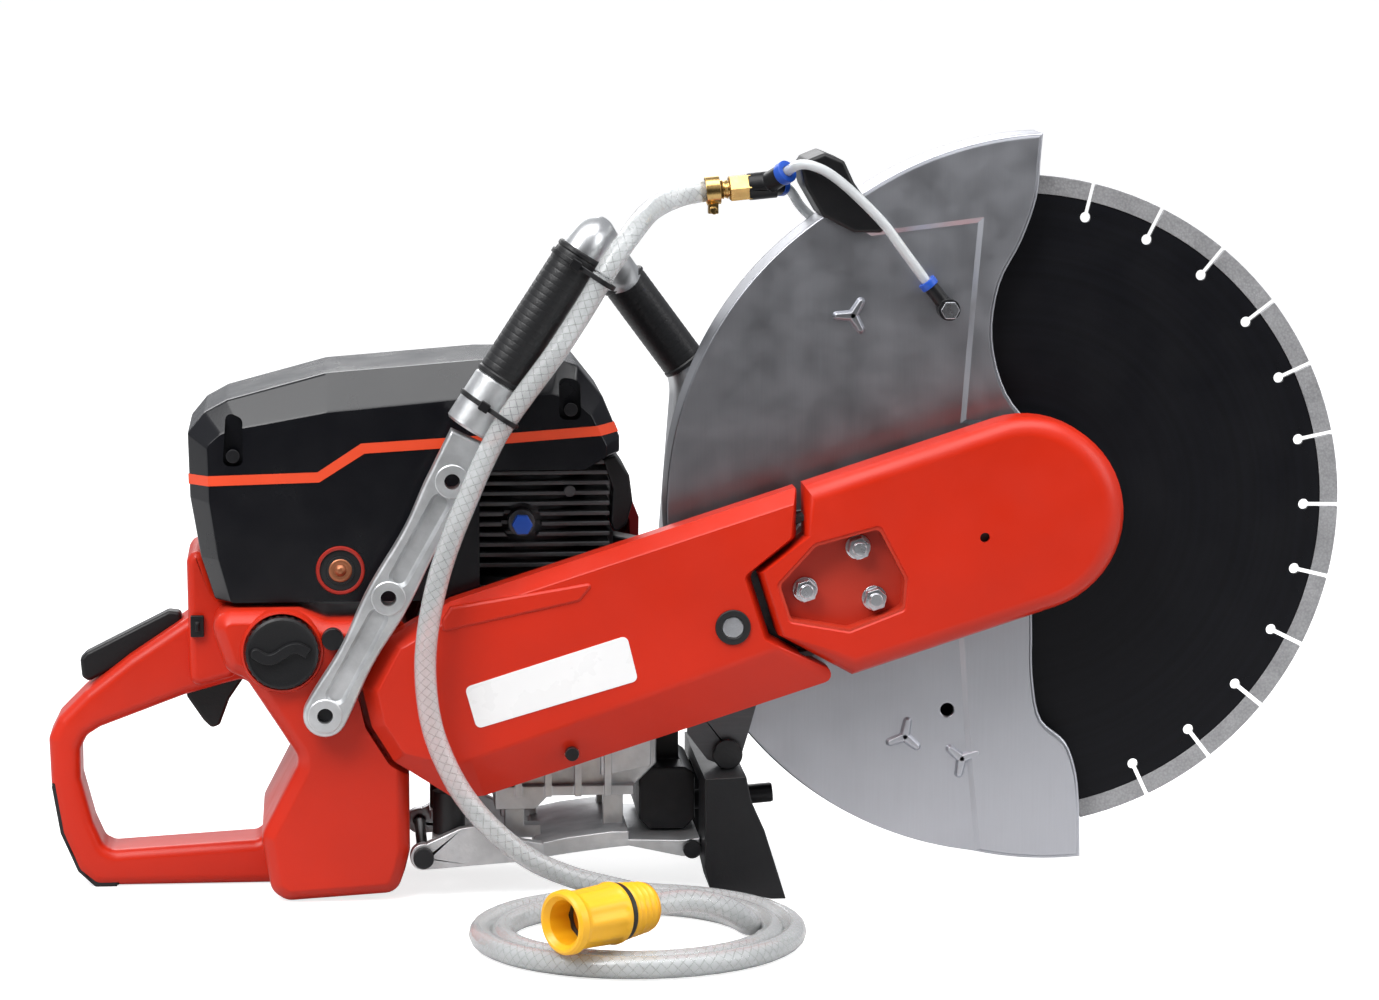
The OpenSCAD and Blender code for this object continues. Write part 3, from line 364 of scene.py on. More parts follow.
def sweep(path, radius, sides, bore=None):
    """A round bar or tube along a path in millimetres, with its length along the V of its UV map."""
    path = [Vector(p) for p in path]
    sides_at, bm, run = frames_along(path), bmesh.new(), [0.0]
    for a, b in zip(path, path[1:]):
        run.append(run[-1] + (b - a).length)
    uv = bm.loops.layers.uv.new("UVMap")

    def wall(r, flip):
        rows = []
        for p, (a, b) in zip(path, sides_at):
            row = []
            for k in range(sides):
                t = 2 * math.pi * k / sides
                row.append(bm.verts.new((p + (a * math.cos(t) + b * math.sin(t)) * r) * MM))
            rows.append(row)
        for i, (low, high) in enumerate(zip(rows, rows[1:])):
            for k in range(sides):
                j = (k + 1) % sides
                quad = (low[k], low[j], high[j], high[k])
                face = bm.faces.new(tuple(reversed(quad)) if flip else quad)
                spots = {low[k]: (k, i), low[j]: (k + 1, i), high[j]: (k + 1, i + 1), high[k]: (k, i + 1)}
                for loop in face.loops:
                    u, v = spots[loop.vert]
                    loop[uv].uv = (u / sides, run[v] * MM)
        return rows

    outer = wall(radius, False)
    if bore:
        inner = wall(bore, True)
        for o, i, turn in ((outer[0], inner[0], True), (outer[-1], inner[-1], False)):
            for k in range(sides):
                j = (k + 1) % sides
                quad = (o[k], o[j], i[j], i[k])
                bm.faces.new(tuple(reversed(quad)) if turn else quad)
    else:
        bm.faces.new(list(reversed(outer[0])))
        bm.faces.new(outer[-1])
    bmesh.ops.recalc_face_normals(bm, faces=bm.faces)
    return bm


def turned(start, way, profile, sides=48, flutes=0, flute_depth=0.0, fluted=(0.0, 0.0)):
    """A lathe-turned part: profile is (distance along, radius) pairs from an axis point."""
    start, way = Vector(start), Vector(way).normalized()
    a = way.cross(Vector((0, 0, 1)) if abs(way.z) < 0.9 else Vector((1, 0, 0))).normalized()
    b, bm, rows = way.cross(a), bmesh.new(), []
    for s, r in profile:
        if r < 1e-6:
            rows.append([bm.verts.new((start + way * s) * MM)])
            continue
        row = []
        for k in range(sides):
            t = 2 * math.pi * k / sides
            cut = 0
            if flutes and fluted[0] <= s <= fluted[1]:
                cut = flute_depth * (0.5 - 0.5 * math.cos(flutes * t))
            row.append(bm.verts.new((start + way * s + (a * math.cos(t) + b * math.sin(t)) * (r - cut)) * MM))
        rows.append(row)
    for low, high in zip(rows, rows[1:]):
        for k in range(sides):
            j = (k + 1) % sides
            ring = [low[k % len(low)], low[j % len(low)], high[j % len(high)], high[k % len(high)]]
            bm.faces.new(list(dict.fromkeys(ring)))
    for row in (rows[0], rows[-1]):
        if len(row) > 1 and profile[0] != profile[-1]:
            bm.faces.new(row)
    if profile[0] == profile[-1]:
        bmesh.ops.remove_doubles(bm, verts=bm.verts, dist=1e-7)
    bmesh.ops.recalc_face_normals(bm, faces=bm.faces)
    return bm


def smooth_route(points, steps):
    """A smooth path through every point."""
    p = [Vector(q) for q in points]
    out = []
    for i in range(len(p) - 1):
        a, b, c, d = p[max(i - 1, 0)], p[i], p[i + 1], p[min(i + 2, len(p) - 1)]
        for k in range(steps):
            t = k / steps
            bend, twist = 2 * a - 5 * b + 4 * c - d, 3 * b - a - 3 * c + d
            out.append(0.5 * (2 * b + (c - a) * t + bend * t * t + twist * t ** 3))
    return out + [p[-1]]


def bent_path(points, radii, steps=7):
    """A straight-run path whose corners are bent round the given radii."""
    p = [Vector(q) for q in points]
    out = [p[0]]
    for i in range(1, len(p) - 1):
        a, b = (p[i - 1] - p[i]), (p[i + 1] - p[i])
        angle = a.angle(b)
        reach = min(radii[i - 1] / math.tan(angle / 2), 0.47 * a.length, 0.47 * b.length)
        start, end = p[i] + a.normalized() * reach, p[i] + b.normalized() * reach
        for k in range(steps + 1):
            t = k / steps
            out.append(start * (1 - t) ** 2 + p[i] * 2 * t * (1 - t) + end * t * t)
    return out + [p[-1]]


def merge(parts):
    """One mesh from several closed ones."""
    out = bmesh.new()
    for bm in parts:
        scratch = bpy.data.meshes.new("scratch")
        bm.to_mesh(scratch)
        bm.free()
        out.from_mesh(scratch)
        bpy.data.meshes.remove(scratch)
    return out


def piece(name, bm, material, body, stands_for=(), sharp=32):
    """Links a finished mesh as a named piece that moves with a body of the frame."""
    mesh = bpy.data.meshes.new(name)
    bm.to_mesh(mesh)
    bm.free()
    mesh.materials.append(material)
    mesh.shade_smooth()
    mesh.set_sharp_from_angle(angle=math.radians(sharp))
    obj = bpy.data.objects.new(name, mesh)
    bpy.context.scene.collection.objects.link(obj)
    if body:
        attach(obj, body)
    if stands_for:
        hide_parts(*([stands_for] if isinstance(stands_for, str) else stands_for))
    return obj


def round_edges(obj, width):
    """Welds a CAD mesh, softens its edges and keeps its flat faces flat."""
    join = obj.modifiers.new("Join", "WELD")
    join.merge_threshold = 0.00001
    soft = obj.modifiers.new("Edges", "BEVEL")
    soft.width = width
    soft.segments = 2
    soft.limit_method = "ANGLE"
    soft.angle_limit = math.radians(30)
    soft.use_clamp_overlap = False
    flat = obj.modifiers.new("Flat Faces", "WEIGHTED_NORMAL")
    flat.keep_sharp = False
    flat.weight = 80


def settle(obj):
    """Turns a piece's modifiers into its own mesh."""
    bpy.context.view_layer.update()
    graph = bpy.context.evaluated_depsgraph_get()
    shaped = obj.evaluated_get(graph)
    mesh = bpy.data.meshes.new_from_object(shaped, preserve_all_data_layers=True, depsgraph=graph)
    old = obj.data
    obj.modifiers.clear()
    obj.data = mesh
    bpy.data.meshes.remove(old)
    mesh.name = obj.name


def carve(obj, *cutters):
    """Cuts closed shapes out of a piece."""
    tools = []
    for bm in cutters:
        mesh = bpy.data.meshes.new("cutter")
        bm.to_mesh(mesh)
        bm.free()
        tool = bpy.data.objects.new("cutter", mesh)
        bpy.context.scene.collection.objects.link(tool)
        cut = obj.modifiers.new("Cut", "BOOLEAN")
        cut.operation, cut.solver, cut.object = "DIFFERENCE", "EXACT", tool
        tools.append(tool)
    settle(obj)
    for tool in tools:
        mesh = tool.data
        bpy.data.objects.remove(tool)
        bpy.data.meshes.remove(mesh)
    obj.data.shade_smooth()
    obj.data.set_sharp_from_angle(angle=math.radians(32))


def cut_to(obj, bm):
    """Keeps only what lies inside a closed shape."""
    mesh = bpy.data.meshes.new("keeper")
    bm.to_mesh(mesh)
    bm.free()
    tool = bpy.data.objects.new("keeper", mesh)
    bpy.context.scene.collection.objects.link(tool)
    cut = obj.modifiers.new("Keep", "BOOLEAN")
    cut.operation, cut.solver, cut.object = "INTERSECT", "EXACT", tool
    settle(obj)
    bpy.data.objects.remove(tool)
    bpy.data.meshes.remove(mesh)


def dress(node, material, edge=0.0):
    """Gives a CAD part its finish and, with an edge width, softly rounded edges."""
    obj = frame["nodes"][node]
    obj.data.materials.clear()
    obj.data.materials.append(material)
    if edge:
        round_edges(obj, edge)


# ---------------------------------------------------------------- shader effects


class Wires:
    """Lays out and joins the nodes of one shader tree."""

    def __init__(self, tree):
        self.tree = tree

    def feed(self, socket, value):
        if isinstance(value, bpy.types.NodeSocket):
            self.tree.links.new(value, socket)
        else:
            socket.default_value = value

    def node(self, kind, feeds=None, **settings):
        made = self.tree.nodes.new(kind)
        for key, value in settings.items():
            setattr(made, key, value)
        for key, value in (feeds or {}).items():
            self.feed(made.inputs[key], value)
        return made

    def math(self, operation, *values, clamp=False):
        made = self.node("ShaderNodeMath", operation=operation, use_clamp=clamp)
        for socket, value in zip(made.inputs, values):
            self.feed(socket, value)
        return made.outputs[0]

    def vector(self, operation, *values):
        made = self.node("ShaderNodeVectorMath", operation=operation)
        for socket, value in zip(made.inputs, values):
            self.feed(socket, value)
        return made.outputs["Value" if operation in {"DOT_PRODUCT", "LENGTH"} else "Vector"]

    def scaled(self, vector, factor):
        return self.node("ShaderNodeVectorMath", {0: vector, "Scale": factor}, operation="SCALE").outputs[0]

    def place(self):
        return self.node("ShaderNodeTexCoord").outputs["Object"]

    def noise(self, scale, detail=2.0, at=None):
        feeds = {"Vector": at or self.place(), "Scale": scale, "Detail": detail}
        return self.node("ShaderNodeTexNoise", feeds).outputs[0]

    def remap(self, value, low, high, to_low=0.0, to_high=1.0):
        feeds = {"Value": value, "From Min": low, "From Max": high, "To Min": to_low, "To Max": to_high}
        return self.node("ShaderNodeMapRange", feeds).outputs["Result"]

    def mix(self, amount, a, b):
        return self.node("ShaderNodeMix", {0: amount, 6: a, 7: b}, data_type="RGBA").outputs[2]

    def cells(self, scale):
        return self.node("ShaderNodeTexVoronoi", {"Vector": self.place(), "Scale": scale}).outputs["Distance"]

    def group(self, tree, feeds=None):
        made = self.node("ShaderNodeGroup", node_tree=tree)
        for key, value in (feeds or {}).items():
            self.feed(made.inputs[key], value)
        return made


def effect(name, inputs, outputs, build):
    """A shader node group with named inputs and outputs, made once."""
    tree = bpy.data.node_groups.get(name)
    if tree:
        return tree
    tree = bpy.data.node_groups.new(name, "ShaderNodeTree")
    for label, kind, value in inputs:
        socket = tree.interface.new_socket(label, in_out="INPUT", socket_type="NodeSocket" + kind)
        socket.default_value = value
    for label, kind in outputs:
        tree.interface.new_socket(label, in_out="OUTPUT", socket_type="NodeSocket" + kind)
    wires = Wires(tree)
    source = wires.node("NodeGroupInput").outputs
    wires.node("NodeGroupOutput", build(wires, source))
    return tree


GREY = (0.5, 0.5, 0.5, 1)


def colour_mottle():
    """Slow changes of tone across a surface."""

    def build(w, src):
        shade = w.remap(w.noise(src["Scale"], 4), 0.3, 0.7, -1, 1)
        return {"Colour": w.scaled(src["Colour"], w.math("MULTIPLY_ADD", shade, src["Amount"], 1.0))}

    inputs = [("Colour", "Color", GREY), ("Amount", "Float", 0.08), ("Scale", "Float", 12.0)]
    return effect("Colour Mottle", inputs, [("Colour", "Color")], build)


def edge_wear_and_highlight():
    """A lighter colour on the outer corners, partly bare wear and partly a painted highlight, broken up by
    noise.
    """

    def build(w, src):
        soft = w.node("ShaderNodeBevel", {"Radius": src["Width"]}, samples=4).outputs[0]
        sharp = w.node("ShaderNodeNewGeometry").outputs["Normal"]
        turn = w.math("SUBTRACT", 1.0, w.vector("DOT_PRODUCT", soft, sharp))
        broken = w.remap(w.noise(260.0, 4), 0.35, 0.65)
        mask = w.math("MULTIPLY", w.math("MULTIPLY", turn, 6.0), broken)
        mask = w.math("MULTIPLY", mask, src["Amount"], clamp=True)
        return {"Colour": w.mix(mask, src["Colour"], src["Bare Colour"]), "Mask": mask}

    inputs = [
        ("Colour", "Color", GREY),
        ("Bare Colour", "Color", GREY),
        ("Width", "Float", 0.0012),
        ("Amount", "Float", 0.5),
    ]
    return effect("Edge Wear", inputs, [("Colour", "Color"), ("Mask", "Float")], build)


def settled_dust():
    """Pale dust on faces that look up."""

    def build(w, src):
        normal = w.node("ShaderNodeNewGeometry").outputs["Normal"]
        up = w.node("ShaderNodeSeparateXYZ", {0: normal}).outputs[2]
        patch = w.remap(w.noise(34.0, 5), 0.35, 0.75)
        mask = w.math("MULTIPLY", w.remap(up, 0.1, 1.0), w.math("MULTIPLY", patch, src["Amount"]), clamp=True)
        return {"Colour": w.mix(mask, src["Colour"], src["Dust Colour"])}

    inputs = [("Colour", "Color", GREY), ("Dust Colour", "Color", GREY), ("Amount", "Float", 0.1)]
    return effect("Settled Dust", inputs, [("Colour", "Color")], build)


def smudges():
    """Roughness that changes with handling."""

    def build(w, src):
        shade = w.remap(w.noise(src["Scale"], 5), 0.3, 0.7, -1, 1)
        return {"Roughness": w.math("MULTIPLY_ADD", shade, src["Amount"], src["Roughness"], clamp=True)}

    inputs = [("Roughness", "Float", 0.4), ("Amount", "Float", 0.05), ("Scale", "Float", 30.0)]
    return effect("Smudges", inputs, [("Roughness", "Float")], build)


def moulded_grain():
    """The fine pebble of a moulded plastic or rubber skin."""

    def build(w, src):
        cells = w.cells(src["Scale"])
        fine = w.noise(w.math("MULTIPLY", src["Scale"], 1.7), 2)
        return {"Height": w.math("MULTIPLY_ADD", cells, 0.5, fine)}

    return effect("Moulded Grain", [("Scale", "Float", 900.0)], [("Height", "Float")], build)


def cast_skin():
    """The uneven skin of a die casting, with its tone."""

    def build(w, src):
        broad = w.noise(src["Scale"], 5)
        feeds = {"Vector": w.place(), "Scale": src["Scale"]}
        pits = w.node("ShaderNodeTexVoronoi", feeds, feature="SMOOTH_F1")
        height = w.math("MULTIPLY_ADD", pits.outputs["Distance"], 0.6, broad)
        shade = w.remap(w.noise(w.math("MULTIPLY", src["Scale"], 0.22), 5), 0.3, 0.7, 0.82, 1.08)
        return {"Height": height, "Colour": w.scaled(src["Colour"], shade)}

    inputs = [("Scale", "Float", 320.0), ("Colour", "Color", GREY)]
    return effect("Cast Skin", inputs, [("Height", "Float"), ("Colour", "Color")], build)


def brushed_lines():
    """Fine lines left by a belt, drawn out along one direction."""

    def build(w, src):
        drawn = w.vector("MULTIPLY", w.place(), src["Stretch"])
        lines = w.noise(src["Scale"], 3, drawn)
        shade = w.remap(lines, 0.3, 0.7, 0.93, 1.05)
        return {"Height": lines, "Colour": w.scaled(src["Colour"], shade)}

    inputs = [("Stretch", "Vector", (1, 1, 0.04)), ("Scale", "Float", 1400.0), ("Colour", "Color", GREY)]
    return effect("Brushed Lines", inputs, [("Height", "Float"), ("Colour", "Color")], build)


def turned_rings():
    """Rings left by turning or grinding about an axis."""

    def build(w, src):
        out = w.vector("MULTIPLY", w.vector("SUBTRACT", w.place(), src["Centre"]), src["Across"])
        reach = w.vector("LENGTH", out)
        ripple = w.math("SINE", w.math("DIVIDE", w.math("MULTIPLY", reach, 6.2832), src["Pitch"]))
        feeds = {"W": reach, "Scale": 240.0, "Detail": 4.0}
        band = w.node("ShaderNodeTexNoise", feeds, noise_dimensions="1D").outputs[0]
        shade = w.remap(band, 0.3, 0.7, 0.8, 1.2)
        return {"Height": w.math("MULTIPLY_ADD", ripple, 0.3, band), "Colour": w.scaled(src["Colour"], shade)}

    inputs = [
        ("Centre", "Vector", (0, 0, 0)),
        ("Across", "Vector", (1, 0, 1)),
        ("Pitch", "Float", 0.0006),
        ("Colour", "Color", GREY),
    ]
    return effect("Turned Rings", inputs, [("Height", "Float"), ("Colour", "Color")], build)


def painted_shade_pool():
    """A broad darker pool about one point, painted shade on the sheet, over fine rolling lines."""

    def build(w, src):
        away = w.vector("LENGTH", w.vector("SUBTRACT", w.place(), src["Centre"]))
        # painted shade: the colour darkens towards the centre point
        painted_pool = w.remap(w.math("DIVIDE", away, src["Reach"]), 0.0, 1.0, 1.0, 0.0)
        painted_pool = w.math("MULTIPLY", w.math("SMOOTH_MIN", painted_pool, 0.8, 0.3), src["Depth"])
        drawn = w.vector("MULTIPLY", w.place(), src["Stretch"])
        lines = w.noise(900.0, 3, drawn)
        shade = w.math("SUBTRACT", w.remap(lines, 0.3, 0.7, 0.985, 1.015), painted_pool)
        return {"Height": lines, "Colour": w.scaled(src["Colour"], shade)}

    inputs = [
        ("Centre", "Vector", (0, 0, 0)),
        ("Reach", "Float", 0.2),
        ("Depth", "Float", 0.4),
        ("Stretch", "Vector", (1, 1, 0.03)),
        ("Colour", "Color", GREY),
    ]
    return effect("Sheen Sweep", inputs, [("Height", "Float"), ("Colour", "Color")], build)


def sintered_grit():
    """Hard grains set in a sintered metal."""

    def build(w, src):
        cells = w.cells(src["Scale"])
        shade = w.remap(cells, 0.0, 0.9, 1.12, 0.8)
        return {"Height": cells, "Colour": w.scaled(src["Colour"], shade)}

    inputs = [("Scale", "Float", 900.0), ("Colour", "Color", GREY)]
    return effect("Sintered Grit", inputs, [("Height", "Float"), ("Colour", "Color")], build)


def drawn_vinyl():
    """Die lines and cloudy bands along a drawn vinyl tube."""

    def build(w, src):
        uv = w.node("ShaderNodeTexCoord").outputs["UV"]
        cloud = w.noise(1.0, 3, w.vector("MULTIPLY", uv, (3, 60, 0)))
        shade = w.math("MULTIPLY_ADD", w.remap(cloud, 0.3, 0.7, -1, 1), src["Cloud"], 1.0)
        parts = w.node("ShaderNodeSeparateXYZ", {0: uv})
        around = w.math("MULTIPLY", parts.outputs[0], 6.0)
        along = w.math("MULTIPLY", parts.outputs[1], src["Threads"])
        threads = []
        for turn in ("ADD", "SUBTRACT"):
            wave = w.math("PINGPONG", w.math(turn, along, around), 0.5)
            threads.append(w.remap(wave, 0.10, 0.02))
        braid = w.math("MULTIPLY", w.math("MAXIMUM", *threads), src["Braid"])
        shade = w.math("SUBTRACT", shade, braid)
        return {"Height": braid, "Colour": w.scaled(src["Colour"], shade)}

    inputs = [
        ("Cloud", "Float", 0.05),
        ("Threads", "Float", 170.0),
        ("Braid", "Float", 0.2),
        ("Colour", "Color", GREY),
    ]
    return effect("Drawn Vinyl", inputs, [("Height", "Float"), ("Colour", "Color")], build)


def finish(name, rgb, roughness, metallic=0.0, skin=None, bump=0.2, depth=0.0004, **more):
    """A Principled material put together from the shared effects.

    skin is (effect, its inputs); more takes mottle, smudge, edge wear with its painted highlight, dust and
    plain Principled inputs.
    """
    made = bpy.data.materials.get(name)
    if made:
        return made
    made = bpy.data.materials.new(name)
    made.use_nodes = True
    w = Wires(made.node_tree)
    shader = made.node_tree.nodes["Principled BSDF"]
    amount, scale = more.pop("mottle", (0.06, 14.0))
    feeds = {"Colour": (*rgb, 1), "Amount": amount, "Scale": scale}
    tone = w.group(colour_mottle(), feeds).outputs["Colour"]
    if skin:
        tree, feeds = skin
        worked = w.group(tree, feeds)
        if "Colour" in worked.inputs:
            w.feed(worked.inputs["Colour"], tone)
            tone = worked.outputs["Colour"]
        feeds = {"Strength": bump, "Distance": depth, "Height": worked.outputs["Height"]}
        w.feed(shader.inputs["Normal"], w.node("ShaderNodeBump", feeds).outputs["Normal"])
    # lighter edges: a painted highlight together with some wear
    if "wear" in more:
        worn_and_lit_rgb, width, share = more.pop("wear")
        feeds = {"Colour": tone, "Bare Colour": (*worn_and_lit_rgb, 1), "Width": width, "Amount": share}
        tone = w.group(edge_wear_and_highlight(), feeds).outputs["Colour"]
    if "dust" in more:
        feeds = {"Colour": tone, "Dust Colour": (0.7, 0.69, 0.67, 1), "Amount": more.pop("dust")}
        tone = w.group(settled_dust(), feeds).outputs["Colour"]
    w.feed(shader.inputs["Base Color"], tone)
    amount, scale = more.pop("smudge", (0.05, 40.0))
    feeds = {"Roughness": roughness, "Amount": amount, "Scale": scale}
    w.feed(shader.inputs["Roughness"], w.group(smudges(), feeds).outputs["Roughness"])
    shader.inputs["Metallic"].default_value = metallic
    for key, value in more.items():
        shader.inputs[key.replace("_", " ")].default_value = value
    return made


def tones():
    return bpy.context.scene.rescue_saw_colours


def sizes():
    return bpy.context.scene.rescue_saw_sizes


def red_plastic():
    skin = (moulded_grain(), {"Scale": 700.0})
    more = {"Specular_IOR_Level": 0.35}
    return finish("Red Plastic", tones().housing, 0.36, skin=skin, bump=0.08, depth=0.0003, dust=0.02, **more)


# painted shade: a darkened copy of the housing's red plastic, for the starter shroud in shadow
def shaded_red_plastic():
    skin = (moulded_grain(), {"Scale": 700.0})
    return finish("Dark Red Plastic", tones().starter, 0.4, skin=skin, bump=0.1, depth=0.0003, dust=0.04)


def stripe_plastic():
    skin = (moulded_grain(), {"Scale": 900.0})
    return finish("Trim Plastic", tones().stripe, 0.4, skin=skin, bump=0.05)


def graphite_plastic():
    skin = (moulded_grain(), {"Scale": 800.0})
    return finish("Graphite Plastic", tones().graphite, 0.24, skin=skin, bump=0.06, depth=0.0003)


def black_plastic():
    skin = (moulded_grain(), {"Scale": 650.0})
    more = {"Specular_IOR_Level": 0.35}
    return finish("Black Plastic", tones().black, 0.4, skin=skin, bump=0.18, dust=0.03, **more)


def black_rubber():
    skin = (moulded_grain(), {"Scale": 480.0})
    more = {"Specular_IOR_Level": 0.4}
    return finish("Black Rubber", tones().rubber, 0.4, skin=skin, bump=0.2, depth=0.0005, dust=0.02, **more)


def cast_aluminium():
    skin = (cast_skin(), {"Scale": 330.0})
    # lighter edges on the casting: painted highlight, partly wear
    more = {"wear": ((0.85, 0.85, 0.86), 0.001, 0.4), "smudge": (0.08, 50.0)}
    return finish("Cast Aluminium", tones().casting, 0.42, 0.85, skin, 0.22, 0.0006, **more)


def engine_metal():
    skin = (cast_skin(), {"Scale": 260.0})
    return finish("Engine Casting", (0.10, 0.103, 0.107), 0.48, 0.7, skin, 0.3, 0.0006, mottle=(0.2, 30.0))


def aluminium_tube():
    skin = (brushed_lines(), {"Stretch": (1, 1, 0.05), "Scale": 1200.0})
    return finish("Aluminium Tube", (0.62, 0.63, 0.64), 0.34, 0.9, skin, 0.08, 0.0002)


def guard_sheet():
    # the darker pool about this centre is painted shade on the guard, not a property of the sheet
    skin = (painted_shade_pool(), {"Centre": (0.05, -0.05, 0.25), "Reach": 0.24, "Depth": 0.55})
    return finish("Guard Sheet", tones().guard, 0.40, 1.0, skin, 0.02, 0.0002, mottle=(0.08, 6.0))


def zinc_steel():
    skin = (brushed_lines(), {"Stretch": (1, 0.1, 1), "Scale": 900.0})
    return finish("Zinc Steel", (0.62, 0.63, 0.66), 0.28, 1.0, skin, 0.06, 0.0002, mottle=(0.12, 90.0))


def dark_steel():
    skin = (brushed_lines(), {"Stretch": (0.05, 1, 1), "Scale": 900.0})
    return finish("Dark Steel", (0.10, 0.10, 0.105), 0.42, 0.9, skin, 0.08, 0.0002, mottle=(0.2, 40.0))


def black_metal():
    skin = (cast_skin(), {"Scale": 600.0})
    # lighter edges on the black metal: painted highlight, partly wear
    wear = ((0.25, 0.25, 0.26), 0.0006, 0.3)
    return finish("Black Metal", (0.016, 0.016, 0.018), 0.4, 0.5, skin, 0.12, 0.0003, wear=wear)


def blade_coating():
    feeds = {"Centre": BLADE * MM, "Across": (1, 0, 1), "Pitch": 0.0009}
    more = {"Specular_IOR_Level": 0.2}
    return finish("Blade Coating", tones().blade, 0.46, 0.0, (turned_rings(), feeds), 0.03, 0.0002, **more)


def segment_metal():
    skin = (sintered_grit(), {"Scale": 700.0})
    return finish("Segment Metal", tones().segment, 0.5, 0.55, skin, 0.3, 0.0005, mottle=(0.12, 60.0))


def brass():
    skin = (cast_skin(), {"Scale": 900.0})
    return finish("Brass", tones().brass, 0.28, 1.0, skin, 0.06, 0.0002, mottle=(0.1, 90.0))


def copper():
    skin = (moulded_grain(), {"Scale": 900.0})
    return finish("Copper Dome", tones().copper, 0.35, 0.6, skin, 0.06, 0.0002, mottle=(0.1, 90.0))


def yellow_plastic():
    skin = (moulded_grain(), {"Scale": 900.0})
    return finish("Yellow Plastic", tones().yellow, 0.36, skin=skin, bump=0.06, mottle=(0.04, 30.0))


def blue_plastic():
    skin = (moulded_grain(), {"Scale": 900.0})
    return finish("Blue Plastic", tones().blue, 0.35, skin=skin, bump=0.06, mottle=(0.05, 60.0))


def label_film():
    skin = (moulded_grain(), {"Scale": 500.0})
    return finish("Label Film", (0.87, 0.87, 0.87), 0.28, skin=skin, bump=0.03, mottle=(0.015, 20.0))


def filter_foam():
    skin = (moulded_grain(), {"Scale": 380.0})
    return finish("Filter Foam", (0.05, 0.055, 0.06), 0.9, skin=skin, bump=0.8, depth=0.001)


def drive_rubber():
    skin = (brushed_lines(), {"Stretch": (1, 0.2, 1), "Scale": 500.0})
    return finish("Belt Rubber", (0.02, 0.02, 0.021), 0.6, skin=skin, bump=0.2)


def clear_vinyl(name, rgb, see_through, braid):
    skin = (drawn_vinyl(), {"Cloud": 0.03, "Braid": braid})
    more = {"mottle": (0.02, 20.0), "smudge": (0.02, 40.0)}
    made = finish(name, rgb, 0.16, skin=skin, bump=0.08, depth=0.0002, **more)
    shader = made.node_tree.nodes["Principled BSDF"]
    shader.inputs["Transmission Weight"].default_value = see_through
    shader.inputs["IOR"].default_value = 1.42
    return made


# ---------------------------------------------------------------- builders


class SAW_OT_stage(bpy.types.Operator):
    """Sets up the floor, the soft studio light and the camera"""

    bl_idname = "rescue_saw.stage"
    bl_label = "Stage"
    bl_options = {"REGISTER", "UNDO"}

    def lamp(self, name, at, size, watts):
        """A rectangular light that looks at the middle of the saw."""
        data = bpy.data.lights.new(name, "AREA")
        data.shape = "RECTANGLE"
        data.size, data.size_y = size
        data.energy = watts
        obj = bpy.data.objects.new(name, data)
        obj.location = at
        obj.rotation_euler = (Vector((0, 0, 0.2)) - Vector(at)).to_track_quat("-Z", "Y").to_euler()
        bpy.context.scene.collection.objects.link(obj)
        return obj

    def execute(self, context):
        scene = context.scene
        mesh = bpy.data.meshes.new("floor")
        half = 80
        corners = [(-half, -half), (half, -half), (half, half), (-half, half)]
        mesh.from_pydata([(x, y, -0.0003) for x, y in corners], [], [(0, 1, 2, 3)])
        pale = finish("Floor", tones().floor, 0.85, mottle=(0.004, 2.0), smudge=(0.02, 3.0))
        shader = pale.node_tree.nodes["Principled BSDF"]
        shader.inputs["Emission Color"].default_value = (1, 1, 1, 1)
        wires = Wires(pale.node_tree)
        seen = wires.node("ShaderNodeLightPath").outputs["Is Camera Ray"]
        wires.feed(shader.inputs["Emission Strength"], wires.math("MULTIPLY", seen, 0.78))
        mesh.materials.append(pale)
        floor = bpy.data.objects.new("floor", mesh)
        scene.collection.objects.link(floor)

        lights = [
            self.lamp("key_light", (-1.7, -1.9, 2.5), (1.8, 1.4), 78),
            self.lamp("top_light", (0.1, -0.7, 2.5), (3.0, 1.6), 62),
            self.lamp("side_light", (2.6, -1.2, 1.3), (1.2, 1.6), 22),
            self.lamp("rim_light", (-0.6, 2.4, 1.6), (2.4, 1.2), 30),
        ]
        mesh = bpy.data.meshes.new("flag")
        bend = [(-0.85, 0.02), (-2.5, 0.02), (-2.5, 1.25)]
        corners = [(x, y, z) for y, z in bend for x in (-1.7, 1.7)]
        mesh.from_pydata(corners, [], [(0, 1, 3, 2), (2, 3, 5, 4)])
        mesh.materials.append(finish("Flag Cloth", (0.03, 0.03, 0.03), 0.9))
        flag = bpy.data.objects.new("flag", mesh)
        flag.visible_camera = False
        flag.visible_shadow = False
        scene.collection.objects.link(flag)

        world = bpy.data.worlds.new("Studio")
        world.use_nodes = True
        sky = world.node_tree.nodes["Background"]
        sky.inputs["Color"].default_value = (0.93, 0.95, 1.0, 1)
        sky.inputs["Strength"].default_value = 0.42
        scene.world = world
        scene.view_settings.view_transform = "Standard"
        scene.view_settings.look = "None"

        data = bpy.data.cameras.new("camera")
        data.lens = sizes().lens
        data.sensor_width = 36
        data.clip_end = 300
        camera = bpy.data.objects.new("camera", data)
        camera.location = (-0.22608, -2.78306, 0.60809)
        camera.rotation_euler = Vector((0.0795, 0.988, -0.134)).to_track_quat("-Z", "Y").to_euler()
        scene.collection.objects.link(camera)
        scene.camera = camera
        return {"FINISHED"}


